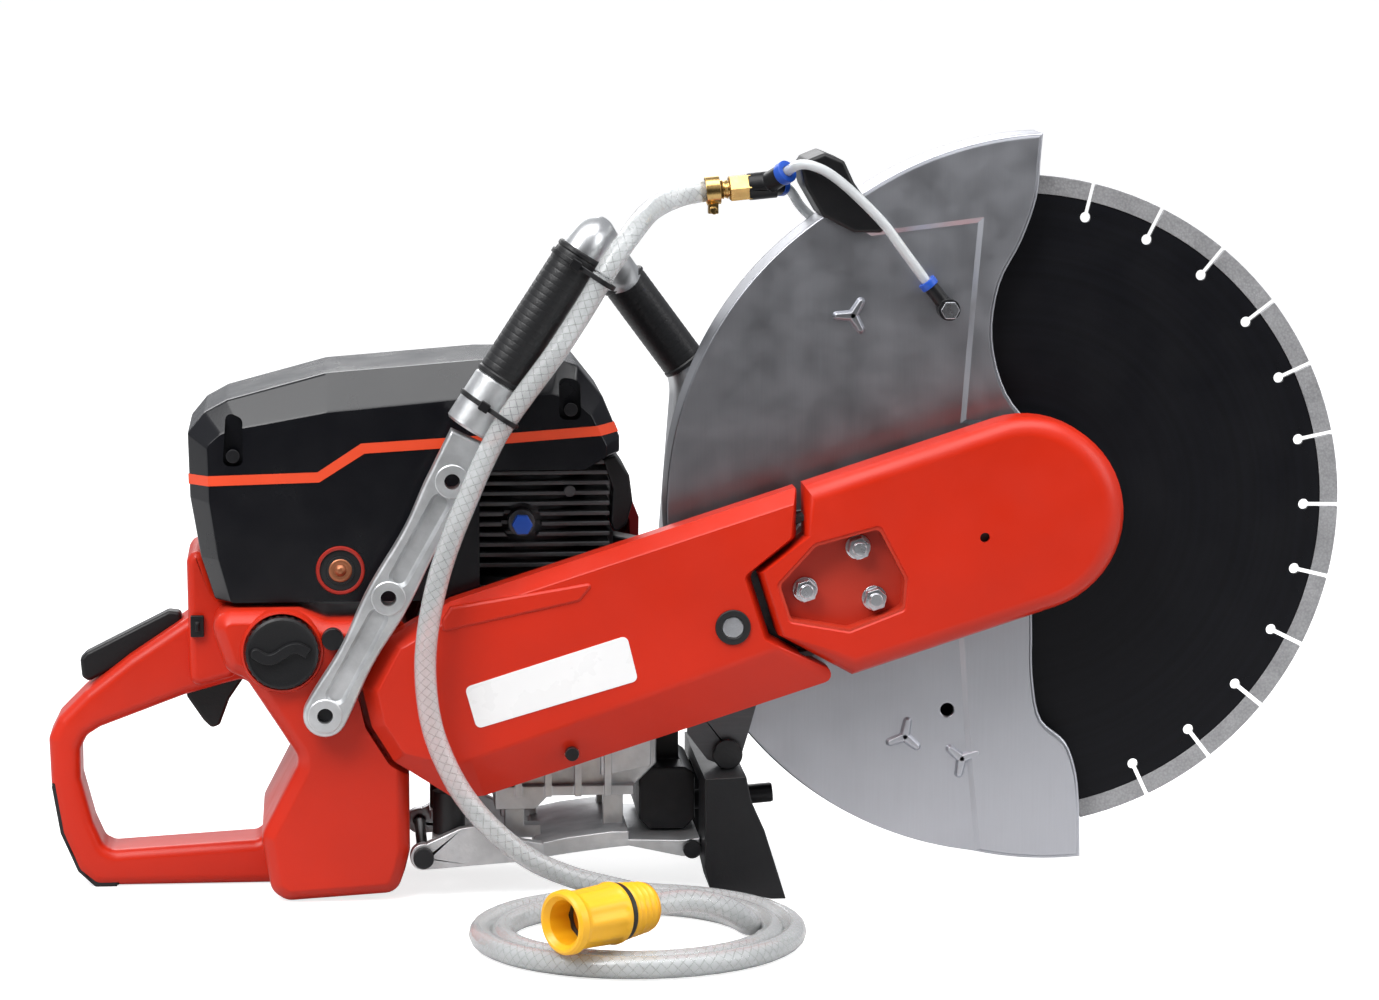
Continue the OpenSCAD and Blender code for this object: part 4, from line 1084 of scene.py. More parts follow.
def coil_route():
    """The flat spiral of the hose on the floor."""
    steps = 96
    route = []
    for k in range(1, steps):
        t = k / steps
        angle = math.radians(COIL_FROM - COIL_TURN * t)
        reach = COIL_OUTER + (COIL_INNER - COIL_OUTER) * t
        x = COIL_CENTRE[0] + reach * math.cos(angle)
        y = COIL_CENTRE[1] + reach * math.sin(angle)
        route.append(Vector((x, y, sizes().hose / MM / 2 + COIL_CLEARANCE)))
    return route


class SAW_OT_supply_hose(bpy.types.Operator):
    """Lays the clear supply hose from the front handle to the barb and to its coil on the floor"""

    bl_idname = "rescue_saw.supply_hose"
    bl_label = "Supply Hose"
    bl_options = {"REGISTER", "UNDO"}

    def execute(self, context):
        vinyl = clear_vinyl("Clear Hose", tones().hose, 0.72, 0.22)
        hose, bore = sizes().hose / MM / 2, sizes().hose_bore / MM / 2
        route = smooth_route(HOSE_RUN, 5) + coil_route() + smooth_route(HOSE_TAIL, 6)
        lower = sweep(route, hose, 20, bore)
        nodes = ("hose_run", "hose_coil", "hose_tail")
        obj = piece("supply_hose", lower, vinyl, "saw", nodes, 60)
        upper_route = smooth_route(HOSE_UPPER, 6)
        upper = sweep(upper_route, hose, 20, bore)
        upper = piece("supply_hose_upper", upper, vinyl, None, "hose_upper", 60)
        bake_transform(upper)
        return {"FINISHED"}


class SAW_OT_quick_connector(bpy.types.Operator):
    """Builds the snap connector on the end of the hose"""

    bl_idname = "rescue_saw.quick_connector"
    bl_label = "Quick Connector"
    bl_options = {"REGISTER", "UNDO"}

    def execute(self, context):
        mouth, way = CONNECTOR_MOUTH, CONNECTOR_WAY
        body = [
            (24, 8), (24, 12.6), (3, 12.6), (1.4, 14), (0, 15.2), (0, 16.6), (1.2, 18), (5.5, 18.4),
            (7, 17), (9, 16.2), (11, 16.4), (34, 17.2), (36.5, 17.9), (39, 17.6), (40, 16.4), (40, 8),
            (24, 8),
        ]
        parts = [turned(mouth, way, body, 60, 10, 1.1, (10, 35))]
        tail = [(43.6, 8), (43.6, 15.4), (45, 16.2)]
        for k in range(4):
            at = 46.5 + 4.4 * k
            tail += [(at, 16.2 - 0.5 * k), (at + 1.1, 15.1 - 0.5 * k), (at + 3.2, 15.1 - 0.5 * k)]
        tail += [(62.4, 13.9), (63.8, 13), (64, 11.6), (64, 6.7), (56, 6.7), (56, 8), (43.6, 8)]
        parts.append(turned(mouth, way, tail, 60))
        yellow, black = yellow_plastic(), black_rubber()
        piece("connector_body", merge(parts), yellow, "saw", "quick_connector", 35)
        ring = [(39.8, 9), (39.8, 15.6), (40.5, 16.6), (43.2, 16.6), (43.9, 15.6), (43.9, 9), (39.8, 9)]
        seal = [(17, 12.7), (17, 11.2), (18.2, 10.4), (19.4, 11.2), (19.4, 12.7), (17, 12.7)]
        rings = [turned(mouth, way, ring, 60), turned(mouth, way, seal, 48)]
        piece("connector_seal", merge(rings), black, "saw", "connector_ring", 35)
        return {"FINISHED"}


class SAW_OT_rear_housing(bpy.types.Operator):
    """Builds the rear handle, the fuel tank and the skid under them"""

    bl_idname = "rescue_saw.rear_housing"
    bl_label = "Rear Housing"
    bl_options = {"REGISTER", "UNDO"}

    def execute(self, context):
        red = red_plastic()
        soft = sizes().grip_round / MM
        loop = rounded(HANDLE_OUTER, 9)
        hole = rounded(HANDLE_INNER, 7)
        handle = plate(loop, soft_levels(-HANDLE_HALF, HANDLE_HALF, min(soft, 6.8)), [hole])
        handle = piece("rear_handle", handle, red, "saw", "rear_housing")
        carve(handle, plate(inset(rounded(SKID, 1), -0.1), [(-20.2, 0), (20.2, 0)]))

        near = [(-78, 8.4), (-77.2, 6.4), (-74.6, 3.6), (-71.4, 1), (-68, 0)]
        far = [(54, 0), (57.6, 1.4), (59, 4)]
        cover = rounded(COVER_REAR_END + [(187, -59), (187, 59)], 5)
        tank = piece("fuel_tank", plate(rounded(TANK, 11), near + far), red, "saw", ())
        carve(tank, plate(inset(cover, -4), [(-100, 0), (-58, 0)], place=arm))
        drum = turned((DRIVE.x, 38, DRIVE.z), (0, 1, 0), [(0, 0), (0, 81.5), (30, 81.5), (30, 0)], 64)
        carve(tank, drum)
        shoulder = plate(rounded(SHOULDER, 6), soft_levels(-36, 34, 5))
        piece("switch_shoulder", shoulder, red, "saw", ())
        rim = [(0, 10), (0, 25.4), (8, 24.8), (9.6, 24.2), (10, 23), (4, 22.6), (4, 10), (0, 10)]
        rim = turned(side(*FILLER, -70), (0, -1, 0), rim, 64)
        piece("filler_rim", rim, red, "saw", ())

        skid = plate(rounded(SKID, 1), soft_levels(-20, 20, 3))
        piece("rear_skid_pad", skid, black_rubber(), "saw", "rear_skid")
        return {"FINISHED"}


class SAW_OT_belt_covers(bpy.types.Operator):
    """Builds the two belt covers and the blank label on the rear one"""

    bl_idname = "rescue_saw.belt_covers"
    bl_label = "Belt Covers"
    bl_options = {"REGISTER", "UNDO"}

    def rear(self, red):
        base = COVER_REAR_END + [(187, -59), (152, -22), (152, 18), (185, 30), (194, 57), (194, 59)]
        face = [
            (-20, 51), (-58, 42.5), (-79, 22), (-81, 2), (-76, -17), (-50, -31), (-40, -31.5),
            (154, -26), (148, -21), (148, 19.5), (181.6, 32.6), (189, 50.6), (189, 51),
        ]
        outer, crown = rounded(base, 5), rounded(face, 4)
        ledge = [tuple(Vector(a).lerp(Vector(b), 0.86)) for a, b in zip(outer, crown)]
        loops = [(crown, -92), (ledge, -91.2), (outer, -81), (outer, -65.2)]
        shell = loft([[arm(u, v, y) for u, v in loop] for loop, y in loops])
        shell = piece("rear_belt_cover", shell, red, "saw", "rear_cover", 40)
        within = [
            (-20, 54), (-60, 45), (-83, 25), (-85, 2), (-79, -20), (-54, -50), (-38, -54.5), (178, -54.5),
            (146, -24), (146, 21), (180, 33), (188, 53),
        ]
        hollow = plate(within, [(-79, 0), (-60, 0)], place=arm)
        screw = turned(arm(18, -50.8, -100), (0, 1, 0), [(0, 0), (0, 4.4), (45, 4.4), (45, 0)], 32)
        grommet = turned(arm(132.5, -7.5, -100), (0, 1, 0), [(0, 0), (0, 10.6), (45, 10.6), (45, 0)], 48)
        carve(shell, hollow, screw, grommet)
        shelf = [(-22.8, 57.6), (63.6, 44.8), (50.7, 36.3), (-32.4, 44.8), (-30, 52)]
        raised = plate(rounded(shelf, 2), [(-93.4, 1.6), (-92.6, 0.4), (-91.4, 0), (-88, 0)], place=arm)
        piece("cover_shelf", raised, red, "saw", ())

    def front(self, red):
        steps = 26
        tip = [math.radians(90 - 180 * k / steps) for k in range(steps + 1)]

        def ring(flank, front, rear):
            half = COVER_HALF - flank
            reach = COVER_HALF - front
            arc = [(ARM_LENGTH + reach * math.cos(t), half * math.sin(t)) for t in tip]
            back = [(192, -59), (157, -22), (157, 18), (190, 30), (199, 57)]
            first, last = (199 + rear, half), (192 + rear * 1.4, -half)
            low = [last] + [(u + rear, v) for u, v in back[1:-1]]
            return arc + low + [first]

        rows = [
            (11, 15, 3.4, -92), (7.6, 10.4, 2.6, -91.4), (4.4, 6.2, 1.6, -89.8), (1.8, 2.6, 0.7, -87),
            (0, 0, 0, -83), (0, 0, 0, -65.2),
        ]
        shell = loft([[arm(u, v, y) for u, v in ring(*drawn_in)] for *drawn_in, y in rows])
        shell = piece("front_belt_cover", shell, red, "saw", "front_cover", 40)
        deep, wide = ring(13, 16, 6), ring(4, 4, 4)
        inner = loft([[arm(u, v, y) for u, v in loop] for loop, y in ((deep, -88), (wide, -82), (wide, -60))])
        cup = [(-95, -0.8), (-92, -0.4), (-90.5, 1), (-77, 2.4)]
        cup = plate(rounded(inset(POCKET, -1), 4), cup, place=arm)
        hole = turned(arm(292, -4, -100), (0, 1, 0), [(0, 0), (0, 3), (45, 3), (45, 0)], 24)
        carve(shell, inner, cup, hole)
        floor = plate(rounded(inset(POCKET, -3), 4), [(-77, 0), (-74.5, 0)], place=arm)
        hole = rounded(inset(POCKET, 1), 4)
        wall = plate(rounded(inset(POCKET, -2), 4), [(-91, 0), (-74.5, 0)], [hole], arm)
        skin = (moulded_grain(), {"Scale": 700.0})
        # the recessed nut pocket is drawn in a darker red than the cover
        dark = finish("Pocket Red", (0.50, 0.030, 0.010), 0.45, skin=skin, bump=0.1)
        bolts = [turned(arm(u, v, -80), (0, 1, 0), [(0, 0), (0, 5), (9, 5), (9, 0)], 24) for u, v in NUTS]
        cup = piece("nut_pocket", merge([floor, wall]), dark, "saw", ())
        carve(cup, *bolts)

    def execute(self, context):
        red = red_plastic()
        self.rear(red)
        self.front(red)
        label = [(-30, 9), (-31, -17), (69, -20), (71, 8)]
        film = plate(rounded(label, 3.5, 6), [(-92.55, 0.5), (-92.4, 0), (-91.6, 0)], place=arm)
        piece("blank_label", film, label_film(), "saw", "label_plate")
        return {"FINISHED"}


class SAW_OT_filter_cover(bpy.types.Operator):
    """Builds the filter cover, its stripe and the primer bulb"""

    bl_idname = "rescue_saw.filter_cover"
    bl_label = "Filter Cover"
    bl_options = {"REGISTER", "UNDO"}

    def execute(self, context):
        radii = [5, 3, 3, 2, 1, 1, 2, 2, 3, 5, 5, 6, 3, 10, 7, 5]
        outer, face = rounded(HOOD_OUTER, radii), rounded(HOOD_FACE, radii)

        def between(share):
            return [tuple(Vector(a).lerp(Vector(b), share)) for a, b in zip(face, outer)]

        near = [(face, -62), (between(0.03), -61.8), (between(0.1), -60.8), (between(0.93), -47.6)]
        near += [(between(0.985), -46.2), (outer, -43.5)]
        stations = near + [(loop, -y) for loop, y in reversed(near)]
        hood = loft([[side(x, z, y) for x, z in loop] for loop, y in stations])
        hood = piece("filter_hood", hood, graphite_plastic(), "saw", "filter_cover")
        hollow = [
            (-302, 281), (-301, 242), (-295, 206), (-287, 170), (-137, 170), (-137, 262), (-130, 262),
            (-130, 250), (-68, 250), (-52, 268), (-52, 275), (-62, 298), (-75, 315), (-85, 319),
            (-133, 319), (-222, 312), (-281, 297), (-292, 290),
        ]
        inside = plate(hollow, [(-44, 0), (44, 0)])
        starter = plate([(-178, 170), (-125, 170), (-125, 234), (-178, 234)], [(38, 0), (70, 0)])
        pockets = [
            plate(rounded([(-285, 262), (-273, 262), (-273, 290), (-283, 294)], 4), [(-70, 0), (-53, 0)]),
            plate(rounded([(-85, 288), (-72, 288), (-72, 311), (-85, 313)], 4), [(-70, 0), (-53, 0)]),
        ]
        carve(hood, inside, starter, *pockets)
        posts = []
        for x, z in ((-279, 268), (-78, 294)):
            posts.append(turned((x, -60.4, z), (0, 1, 0), [(0, 0), (0, 3.4), (12, 3.8), (12, 0)], 24))
        piece("hood_screw_posts", merge(posts), graphite_plastic(), "saw", ())
        deflector = [
            (-58, 262), (-50, 264), (-42, 252), (-40, 236), (-44, 222), (-51, 217), (-53, 224), (-52, 244),
        ]
        wing = plate(rounded(deflector, 2), soft_levels(-45, 30, 1.5))
        piece("fin_deflector", wing, black_plastic(), "saw", ())

        skin = [(inset(face, -0.4), -62.5), (inset(outer, -0.5), -46.2), (inset(outer, -0.5), -42)]
        skin = loft([[side(x, z, y) for x, z in loop] for loop, y in skin])
        band = plate(STRIPE_TOP + STRIPE_LOW[::-1], [(-70, 0), (-44.5, 0)])
        stripe = piece("hood_stripe", skin, stripe_plastic(), "saw", "cover_trim")
        cut_to(stripe, band)

        ring = [(0, 12.4), (0, 14.6), (1.3, 14.6), (2.1, 14.1), (2.2, 13.2), (1.9, 12.4), (0, 12.4)]
        rim = turned(side(*PRIMER, -61.6), (0, -1, 0), ring, 56)
        grain = (moulded_grain(), {"Scale": 900.0})
        dark = finish("Ring Red", (0.34, 0.016, 0.008), 0.4, skin=grain, bump=0.05)
        piece("primer_ring", rim, dark, "saw", ())
        well = [(0, 0), (0, 12.6), (0.6, 12.6), (0.9, 8.6), (1.8, 8.4), (1.8, 0)]
        well = turned(side(*PRIMER, -61.6), (0, -1, 0), well, 48)
        piece("primer_well", well, black_rubber(), "saw", ())
        dome = [
            (0, 0), (0, 6.8), (1.8, 6.9), (2.3, 6.3), (2.5, 4.8), (1.9, 3.9), (2, 3.4), (3.4, 2.6),
            (3.8, 1.2), (3.9, 0),
        ]
        bulb = turned(side(*PRIMER, -61.8), (0, -1, 0), dome, 48)
        piece("primer_dome", bulb, copper(), "saw", "primer_bulb", 50)
        return {"FINISHED"}


def ribbon_outline(line, steps=8):
    """The outline of a band along a flat line of (x, z, half width) points, round at its start."""
    spots = []
    for (x0, z0, h0), (x1, z1, h1) in zip(line, line[1:]):
        for k in range(steps):
            t = k / steps
            eased = (1 - math.cos(math.pi * t)) / 2
            spots.append((x0 + (x1 - x0) * t, z0 + (z1 - z0) * t, h0 + (h1 - h0) * eased))
    spots.append(line[-1])
    left, right = [], []
    for i, (x, z, half) in enumerate(spots):
        a, b = spots[max(i - 1, 0)], spots[min(i + 1, len(spots) - 1)]
        way = Vector((b[0] - a[0], b[1] - a[1])).normalized()
        left.append((x - way.y * half, z + way.x * half))
        right.append((x + way.y * half, z - way.x * half))
    x, z, half = spots[0]
    way = Vector((spots[1][0] - x, spots[1][1] - z)).normalized()
    base = math.atan2(-way.x, way.y) + math.pi
    cap = []
    for k in range(1, 12):
        cap.append(on_circle(x, z, half, base + math.pi * k / 12))
    return right + left[::-1] + cap


class SAW_OT_front_handle(bpy.types.Operator):
    """Builds the front handle tube, its grips, its bracket and the tie bands"""

    bl_idname = "rescue_saw.front_handle"
    bl_label = "Front Handle"
    bl_options = {"REGISTER", "UNDO"}

    def bracket(self):
        outline = ribbon_outline(BRACKET_LINE)
        spots = [(-226, 117), (-188, 187), (-150, 256)]
        holes = [circle(x, z, 4.6, 32) for x, z in spots]
        cast = cast_aluminium()
        bracket = plate(outline, soft_levels(BRACKET_FACE, -82, 2.2), holes)
        bracket = piece("handle_bracket_casting", bracket, cast, "saw", "handle_bracket")
        webs = [((-219.5, 129.5), (-194.5, 175)), ((-181.5, 199.5), (-157, 243))]
        cuts = []
        for a, b in webs:
            slot = two_circle_band(a, 5.61, b, 5.6, 10)
            cuts.append(plate(slot, [(-100, -2.4), (-96.2, -0.8), (-93.6, 0.4), (-92.6, 1.4)]))
        carve(bracket, *cuts)
        rims = []
        for x, z in spots:
            rim = [(0, 4.7), (0, 9.6), (0.5, 10.2), (1.6, 10.2), (1.6, 4.7), (0, 4.7)]
            rims.append(turned((x, -97.2, z), (0, 1, 0), rim, 40))
        base, top = Vector((-140.5, -89, 287)), Vector((-122.6, -89, 314.9))
        reach = (top - base).length
        collar = [(0, 9), (0, 13), (1.4, 14.4), (reach - 1.6, 14.2), (reach - 0.2, 13.4), (reach, 12.6)]
        collar += [(reach, 9), (0, 9)]
        rims.append(turned(base, top - base, collar, 48))
        piece("bracket_bosses", merge(rims), cast, "saw", ())

    def tube(self):
        path = bent_path(HANDLE_PATH, [15, 34, 46, 40, 16], 9)
        bar = sweep(path, sizes().handle_tube / MM / 2, 32)
        piece("handle_bar", bar, aluminium_tube(), "saw", "handle_tube", 50)

    def grip(self, base, top, ribs):
        base, top = Vector(base), Vector(top)
        reach = (top - base).length
        profile = [(0, 11.8), (0, 13.6), (0.8, 14.5), (2.6, 14.6), (3.6, 13.6)]
        pitch = (reach - 8) / ribs
        for k in range(ribs):
            at = 4 + pitch * k
            rib = [(0.06, 13.82), (0.14, 13.98), (0.86, 13.98), (0.94, 13.82)]
            profile += [(at + share * pitch, r) for share, r in rib]
        profile += [(reach - 3.6, 13.6), (reach - 2.6, 14.4), (reach - 0.8, 14.3), (reach, 13.4)]
        profile += [(reach, 11.8), (0, 11.8)]
        return turned(base, top - base, profile, 48)

    def band(self, along, off_x, off_y):
        foot = Vector((-121.7, -89, 316))
        across, up = Vector((0.839, 0, -0.544)), Vector((0.544, 0, 0.839))

        def place(a, b, t):
            return foot + up * (along + t) + across * a + Vector((0, b, 0))

        hose = sizes().hose / MM / 2
        ring = two_circle_band((0, 0), 14.2, (off_x, off_y), hose + 0.5)
        strap = plate(inset(ring, -1.1), [(0, 0.3), (0.4, 0), (2.6, 0), (3, 0.3)], [ring], place)
        lock = [(-3, -15.2), (3, -15.2), (3, -19.6), (-3, -19.6)]
        head = plate(lock, [(-1.4, 0.5), (-0.9, 0), (3.9, 0), (4.4, 0.5)], place=place)
        return merge([strap, head])

    def execute(self, context):
        self.bracket()
        self.tube()
        ribs = sizes().grip_ribs
        near = self.grip((-122.3, -89, 315.2), (-73, -89, 391.2), ribs)
        far = self.grip((-37.3, 92.5, 359), (3, 96.7, 304.1), max(6, int(ribs * 0.75)))
        piece("rubber_grips", merge([near, far]), black_rubber(), "saw", "handle_grips", 40)
        bands = merge([self.band(80, 19.5, -13), self.band(-19, 15.5, -14)])
        piece("tie_bands", bands, black_plastic(), "saw", "zip_ties")
        return {"FINISHED"}


class SAW_OT_controls(bpy.types.Operator):
    """Builds the trigger, lockout, stop switch, choke knob, fuel cap and decompression valve"""

    bl_idname = "rescue_saw.controls"
    bl_label = "Controls"
    bl_options = {"REGISTER", "UNDO"}

    def fuel_cap(self):
        rim = [(0, 0), (0, 20.4), (0.8, 21.6), (2, 22), (9, 22), (10.4, 21.4), (11.2, 20), (10.6, 18)]
        rim += [(10.2, 0)]
        disc = turned(side(*FILLER, -74.6), (0, -1, 0), rim, 120, sizes().cap_flutes, 0.9, (1.5, 9.5))
        wave = []
        steps = 18
        for k in range(steps + 1):
            x = -15.5 + 31 * k / steps
            wave.append((FILLER[0] + x, FILLER[1] + 3.4 * math.sin(math.pi * x / 15.5), 3.1))
        bar = plate(ribbon_outline(wave, 1), [(-88.6, 0.9), (-88.2, 0.2), (-87.4, 0), (-84, -0.6)])
        piece("fuel_cap_knob", merge([disc, bar]), black_plastic(), "cap", "fuel_cap")

    def execute(self, context):
        black = black_plastic()
        lever = plate(rounded(TRIGGER, 3), soft_levels(-6, 6, 2.2))
        piece("trigger_lever", lever, black, "trigger", "throttle_trigger")
        lock = plate(rounded(LOCKOUT, 3), soft_levels(-7, 7, 2.4))
        piece("lockout_lever", lock, black, "lockout", "throttle_lockout")
        self.fuel_cap()
        dress("stop_switch", black, 0.0006)
        dress("choke_knob", black, 0.0006)
        dress("decompression_valve", blue_plastic(), 0.0005)
        return {"FINISHED"}


class SAW_OT_guard(bpy.types.Operator):
    """Finishes the blade guard and builds its handle"""

    bl_idname = "rescue_saw.guard"
    bl_label = "Blade Guard"
    bl_options = {"REGISTER", "UNDO"}

    def outer_arc(self):
        """The rim from its front top corner over the back to its front lower corner."""
        centres = [(0, 0), (22, 13), (22, -4)]
        arc = []
        for k in range(101):
            t = math.radians(86.6 + (280.6 - 86.6) * k / 100)
            way = Vector((math.cos(t), math.sin(t)))
            reach = 0
            for cx, cz in centres:
                along = cx * way.x + cz * way.y
                off = cx * way.y - cz * way.x
                reach = max(reach, along + math.sqrt(GUARD_R ** 2 - off ** 2))
            arc.append((BLADE.x + way.x * reach, BLADE.z + way.y * reach))
        return arc

    def front_edge(self):
        """The open front edge, drawn as one smooth line from bottom to top."""
        spots = [
            (233, 44), (231, 66), (224, 86), (209, 100), (204, 122), (203, 150), (206, 182), (236, 200),
            (246, 231), (236, 262), (206, 278), (186, 300), (177, 333), (181, 366), (194, 392), (203, 418),
            (205, 440),
        ]
        line = smooth_route([(x, 0, z) for x, z in spots], 4)
        return [(p.x, p.z) for p in line]

    def execute(self, context):
        arc = self.outer_arc()
        outline = arc + self.front_edge()
        sheet = guard_sheet()
        bores = [circle(BLADE.x, BLADE.z, 30.3, 48), circle(151, 107, 4, 24), circle(149, 352, 3.2, 20)]
        near = plate(outline, [(-50, 1.1), (-49.6, 0.4), (-48.9, 0), (-47, 0)], bores)
        rim = plate(arc + inset(arc, 3)[::-1], [(-47.4, 0), (-12.6, 0), (-12, 0.5)])
        inner = []
        for k in range(49):
            inner.append(on_circle(BLADE.x, BLADE.z, 112, math.radians(-80 - 200 * k / 48)))
        far = plate(arc + inner, [(-15, 0), (-12.5, 0), (-12, 0.4)], [circle(149, 352, 3.2, 20)])
        boss = [(0, 30.3), (0, 44), (5.4, 44), (5.4, 30.3), (0, 30.3)]
        boss = turned((BLADE.x, -50, BLADE.z), (0, 1, 0), boss, 64)
        shell = merge([near, rim, far, boss])
        piece("guard_shell", shell, sheet, "guard_assembly", "guard")
        regions = {
            "guard_fold_top": [
                (171, 407), (166, 350), (161, 285), (270, 275), (270, 480), (60, 480), (70, 420), (104, 399),
            ],
            "guard_fold_low": [(160, 165), (166, 80), (174, 0), (270, 0), (270, 165)],
        }
        for name, region in regions.items():
            skin = plate(inset(outline, 2), [(-52.1, 1.2), (-51.9, 0.4), (-51.2, 0), (-49.4, -1.2)])
            fold = piece(name, skin, sheet, "guard_assembly", ())
            cut_to(fold, plate(region, [(-54, 0), (-52.2, 0), (-49, -4.6)]))
            fold.data.shade_smooth()
            fold.data.set_sharp_from_angle(angle=math.radians(25))
        marks = []
        for x, z, turn in ((92, 348, 60), (125, 91, 80), (160, 77, 20)):
            for k in range(3):
                t = math.radians(turn + 120 * k)
                ray = two_circle_band((x, z), 2.9, on_circle(x, z, 9.5, t), 2.2, 8)
                marks.append(plate(ray, [(-52.7, 1.5), (-52.4, 0.9), (-51.6, 0.3), (-49.5, -0.8)]))
        piece("guard_marks", merge(marks), sheet, "guard_assembly", ())
        grip = [
            (60, 436), (64, 442), (74, 446), (86, 441), (92, 428), (113, 398), (92, 398), (73, 408),
            (63, 425),
        ]
        block = plate(rounded(grip, 3), soft_levels(-57, -5, 2.6))
        piece("guard_grip", block, black_plastic(), "guard_assembly", "guard_handle")
        return {"FINISHED"}


class SAW_OT_water_kit(bpy.types.Operator):
    """Builds the hose barb and the thin tubes, and finishes the tee, collars, elbows and hollow screws"""

    bl_idname = "rescue_saw.water_kit"
    bl_label = "Water Kit"
    bl_options = {"REGISTER", "UNDO"}

    def execute(self, context):
        barbs = [(0.2, 3), (0.2, 4.9)]
        for k in range(6):
            barbs += [(0.6 + 2.7 * k, 5.0), (2.6 + 2.7 * k, 6.0), (2.9 + 2.7 * k, 5.0)]
        barbs += [(17.4, 5), (17.4, 3), (0.2, 3)]
        nut = [(17, 3), (17, 7.4), (17.8, 8.4), (30.3, 8.4), (27.4, 7.4), (27.6, 3), (17, 3)]
        parts = [turned(BARB_FROM, BARB_WAY, barbs, 40), turned(BARB_FROM, BARB_WAY, nut, 6)]
        piece("brass_barb", merge(parts), brass(), "guard_assembly", "hose_barb", 25)
        near = [
            TEE + NEAR_WAY * 17.6, TEE + NEAR_WAY * 21, (57, -55.4, 438.2), (60.4, -60.6, 439.4),
            (66, -63.8, 438.8), (76, -65, 434.2), (90, -65, 423), (108, -64, 405), (120, -61.6, 389.4),
            NEAR_ELBOW + NEAR_ENTRY * 25, NEAR_ELBOW + NEAR_ENTRY * 19.4,
        ]
        far = [
            TEE + FAR_WAY * 14, TEE + FAR_WAY * 17.6, (57, -13.4, 421.6), (60.6, -7.4, 417.4),
            (65, -2.4, 411), (72, 0.4, 404), (84, 1, 395), (100, 0, 385.4), (118, -3, 374.6),
            FAR_ELBOW + FAR_ENTRY * 20.4, FAR_ELBOW + FAR_ENTRY * 15.6,
        ]
        tube = sizes().tube / MM / 2
        lines = merge([sweep(smooth_route(way, 6), tube, 16, tube - 1) for way in (near, far)])
        vinyl = clear_vinyl("Clear Tube", (0.95, 0.97, 0.98), 0.6, 0.0)
        piece("thin_tubes", lines, vinyl, "guard_assembly", "water_tubes", 60)
        dress("y_connector", black_plastic(), 0.0005)
        dress("tube_elbows", black_plastic(), 0.0004)
        dress("tube_collars", blue_plastic(), 0.0004)
        dress("banjo_screws", zinc_steel(), 0.0004)
        dress("hose_clamp", brass(), 0.0003)
        return {"FINISHED"}


class SAW_OT_blade(bpy.types.Operator):
    """Finishes the blade, its rim segments and its spindle"""

    bl_idname = "rescue_saw.blade"
    bl_label = "Cutting Blade"
    bl_options = {"REGISTER", "UNDO"}

    def execute(self, context):
        dress("blade_core", blade_coating(), 0.0002)
        dress("blade_segments", segment_metal(), 0.0003)
        dress("blade_flanges", dark_steel(), 0.0005)
        dress("blade_bolt", zinc_steel(), 0.0004)
        dress("spindle", zinc_steel(), 0.0004)
        dress("driven_pulley", dark_steel(), 0.0004)
        return {"FINISHED"}


class SAW_OT_engine(bpy.types.Operator):
    """Finishes the engine, its cradle, foot, starter and inner parts"""

    bl_idname = "rescue_saw.engine"
    bl_label = "Engine"
    bl_options = {"REGISTER", "UNDO"}

    def execute(self, context):
        dress("cylinder", engine_metal(), 0.0003)
        dress("crankcase", cast_aluminium(), 0.0009)
        dress("engine_cradle", cast_aluminium(), 0.0008)
        dress("muffler", black_metal(), 0.0012)
        dress("support_foot", black_plastic(), 0.0010)
        dress("rubber_mounts", black_rubber(), 0.0006)
        dress("carburettor", cast_aluminium(), 0.0005)
        dress("filter_element", filter_foam(), 0.0008)
        dress("spark_plug", black_rubber(), 0.0006)
        dress("starter_housing", shaded_red_plastic(), 0.0006)
        dress("starter_grip", black_plastic())
        dress("flywheel", cast_aluminium(), 0.0004)
        dress("crankshaft", zinc_steel(), 0.0004)
        dress("clutch_hub", dark_steel(), 0.0004)
        dress("clutch_drum", dark_steel(), 0.0004)
        return {"FINISHED"}


class SAW_OT_cutting_arm(bpy.types.Operator):
    """Finishes the cutting arm, its belt and bearings, and the screws of the whole saw"""

    bl_idname = "rescue_saw.cutting_arm"
    bl_label = "Cutting Arm"
    bl_options = {"REGISTER", "UNDO"}

    def execute(self, context):
        dress("support_arm", dark_steel(), 0.0006)
        dress("bearing_arm", cast_aluminium(), 0.0006)
        dress("arm_nuts", zinc_steel(), 0.0004)
        dress("spindle_bearings", zinc_steel(), 0.0004)
        dress("drive_belt", drive_rubber(), 0.0004)
        dress("machine_screws", black_metal(), 0.0003)
        return {"FINISHED"}


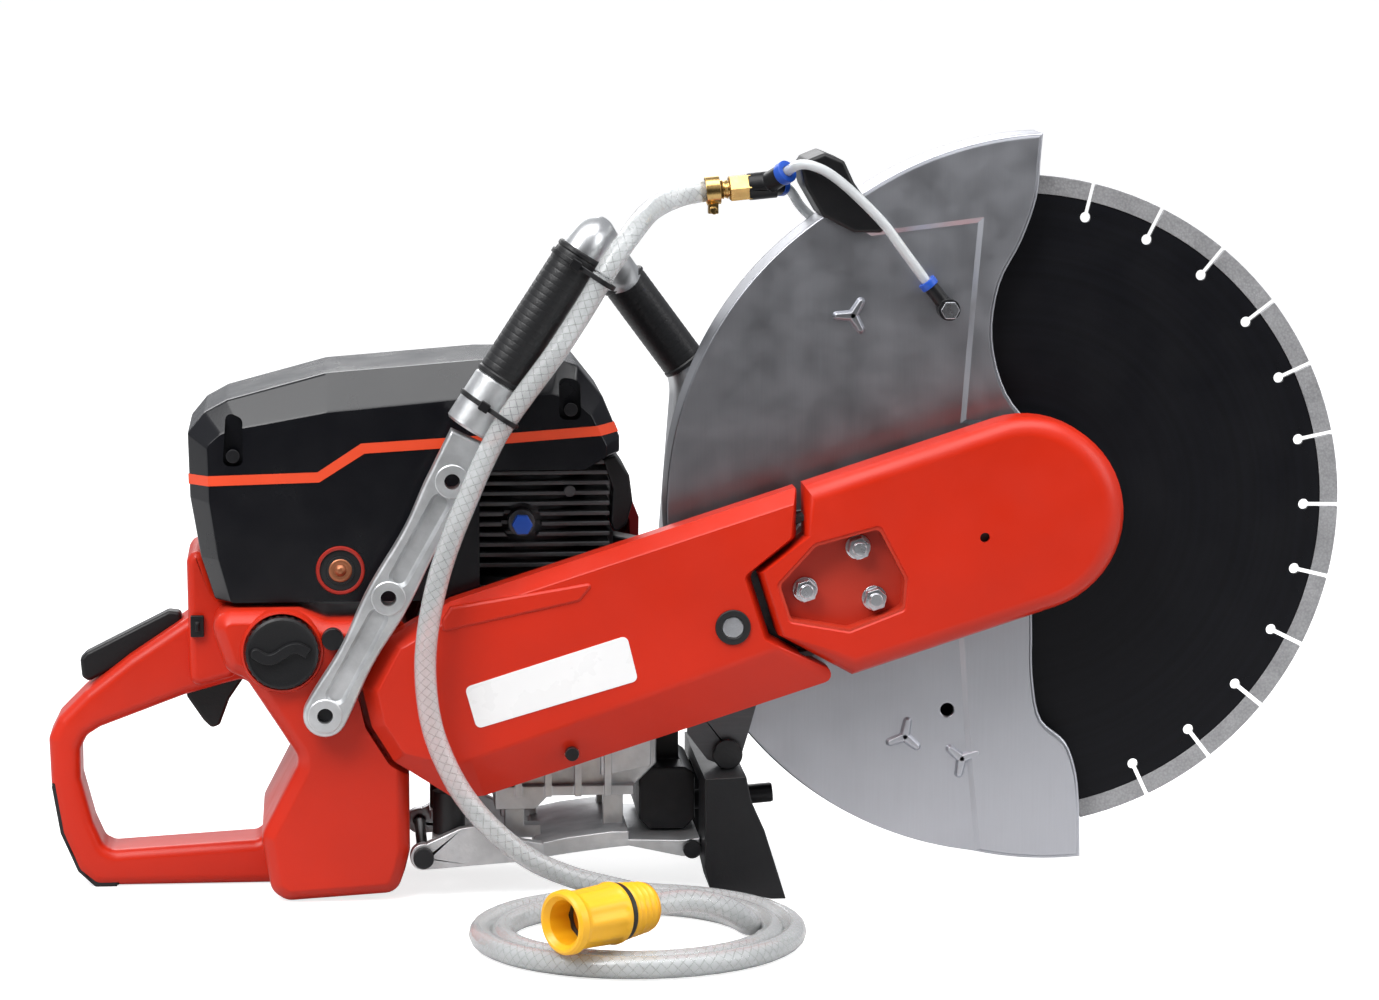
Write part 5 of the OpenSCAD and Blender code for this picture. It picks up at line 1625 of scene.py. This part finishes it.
class SAW_OT_even_shading(bpy.types.Operator):
    """Keeps the flat faces of every moulded piece flat beside its rounded edges"""

    bl_idname = "rescue_saw.even_shading"
    bl_label = "Even Shading"
    bl_options = {"REGISTER", "UNDO"}

    def execute(self, context):
        for obj in context.scene.objects:
            made_here = obj.type == "MESH" and obj.get("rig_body") and obj.name not in frame["nodes"]
            if made_here and not obj.modifiers:
                flat = obj.modifiers.new("Flat Faces", "WEIGHTED_NORMAL")
                flat.keep_sharp = True
                flat.weight = 90
        return {"FINISHED"}


BUILDERS = (
    SAW_OT_stage,
    SAW_OT_quick_connector,
    SAW_OT_supply_hose,
    SAW_OT_rear_housing,
    SAW_OT_belt_covers,
    SAW_OT_filter_cover,
    SAW_OT_front_handle,
    SAW_OT_controls,
    SAW_OT_guard,
    SAW_OT_water_kit,
    SAW_OT_blade,
    SAW_OT_engine,
    SAW_OT_cutting_arm,
    SAW_OT_even_shading,
)


class SAW_PT_builder(bpy.types.Panel):
    """Lists the saw's sizes, colours and builders"""

    bl_label = "Rescue Saw"
    bl_idname = "SAW_PT_builder"
    bl_space_type = "VIEW_3D"
    bl_region_type = "UI"
    bl_category = "Rescue Saw"

    def draw(self, context):
        for settings in (context.scene.rescue_saw_sizes, context.scene.rescue_saw_colours):
            box = self.layout.box()
            for name in settings.__annotations__:
                box.prop(settings, name)
        for builder in BUILDERS:
            self.layout.operator(builder.bl_idname)


CLASSES = (SawColours, SawSizes, *BUILDERS, SAW_PT_builder)


def register():
    for cls in CLASSES:
        bpy.utils.register_class(cls)
    bpy.types.Scene.rescue_saw_colours = PointerProperty(type=SawColours)
    bpy.types.Scene.rescue_saw_sizes = PointerProperty(type=SawSizes)


def unregister():
    del bpy.types.Scene.rescue_saw_sizes
    del bpy.types.Scene.rescue_saw_colours
    for cls in reversed(CLASSES):
        bpy.utils.unregister_class(cls)


def main():
    register()
    for builder in BUILDERS:
        group, name = builder.bl_idname.split(".")
        getattr(getattr(bpy.ops, group), name)()


if __name__ == "__main__":
    main()
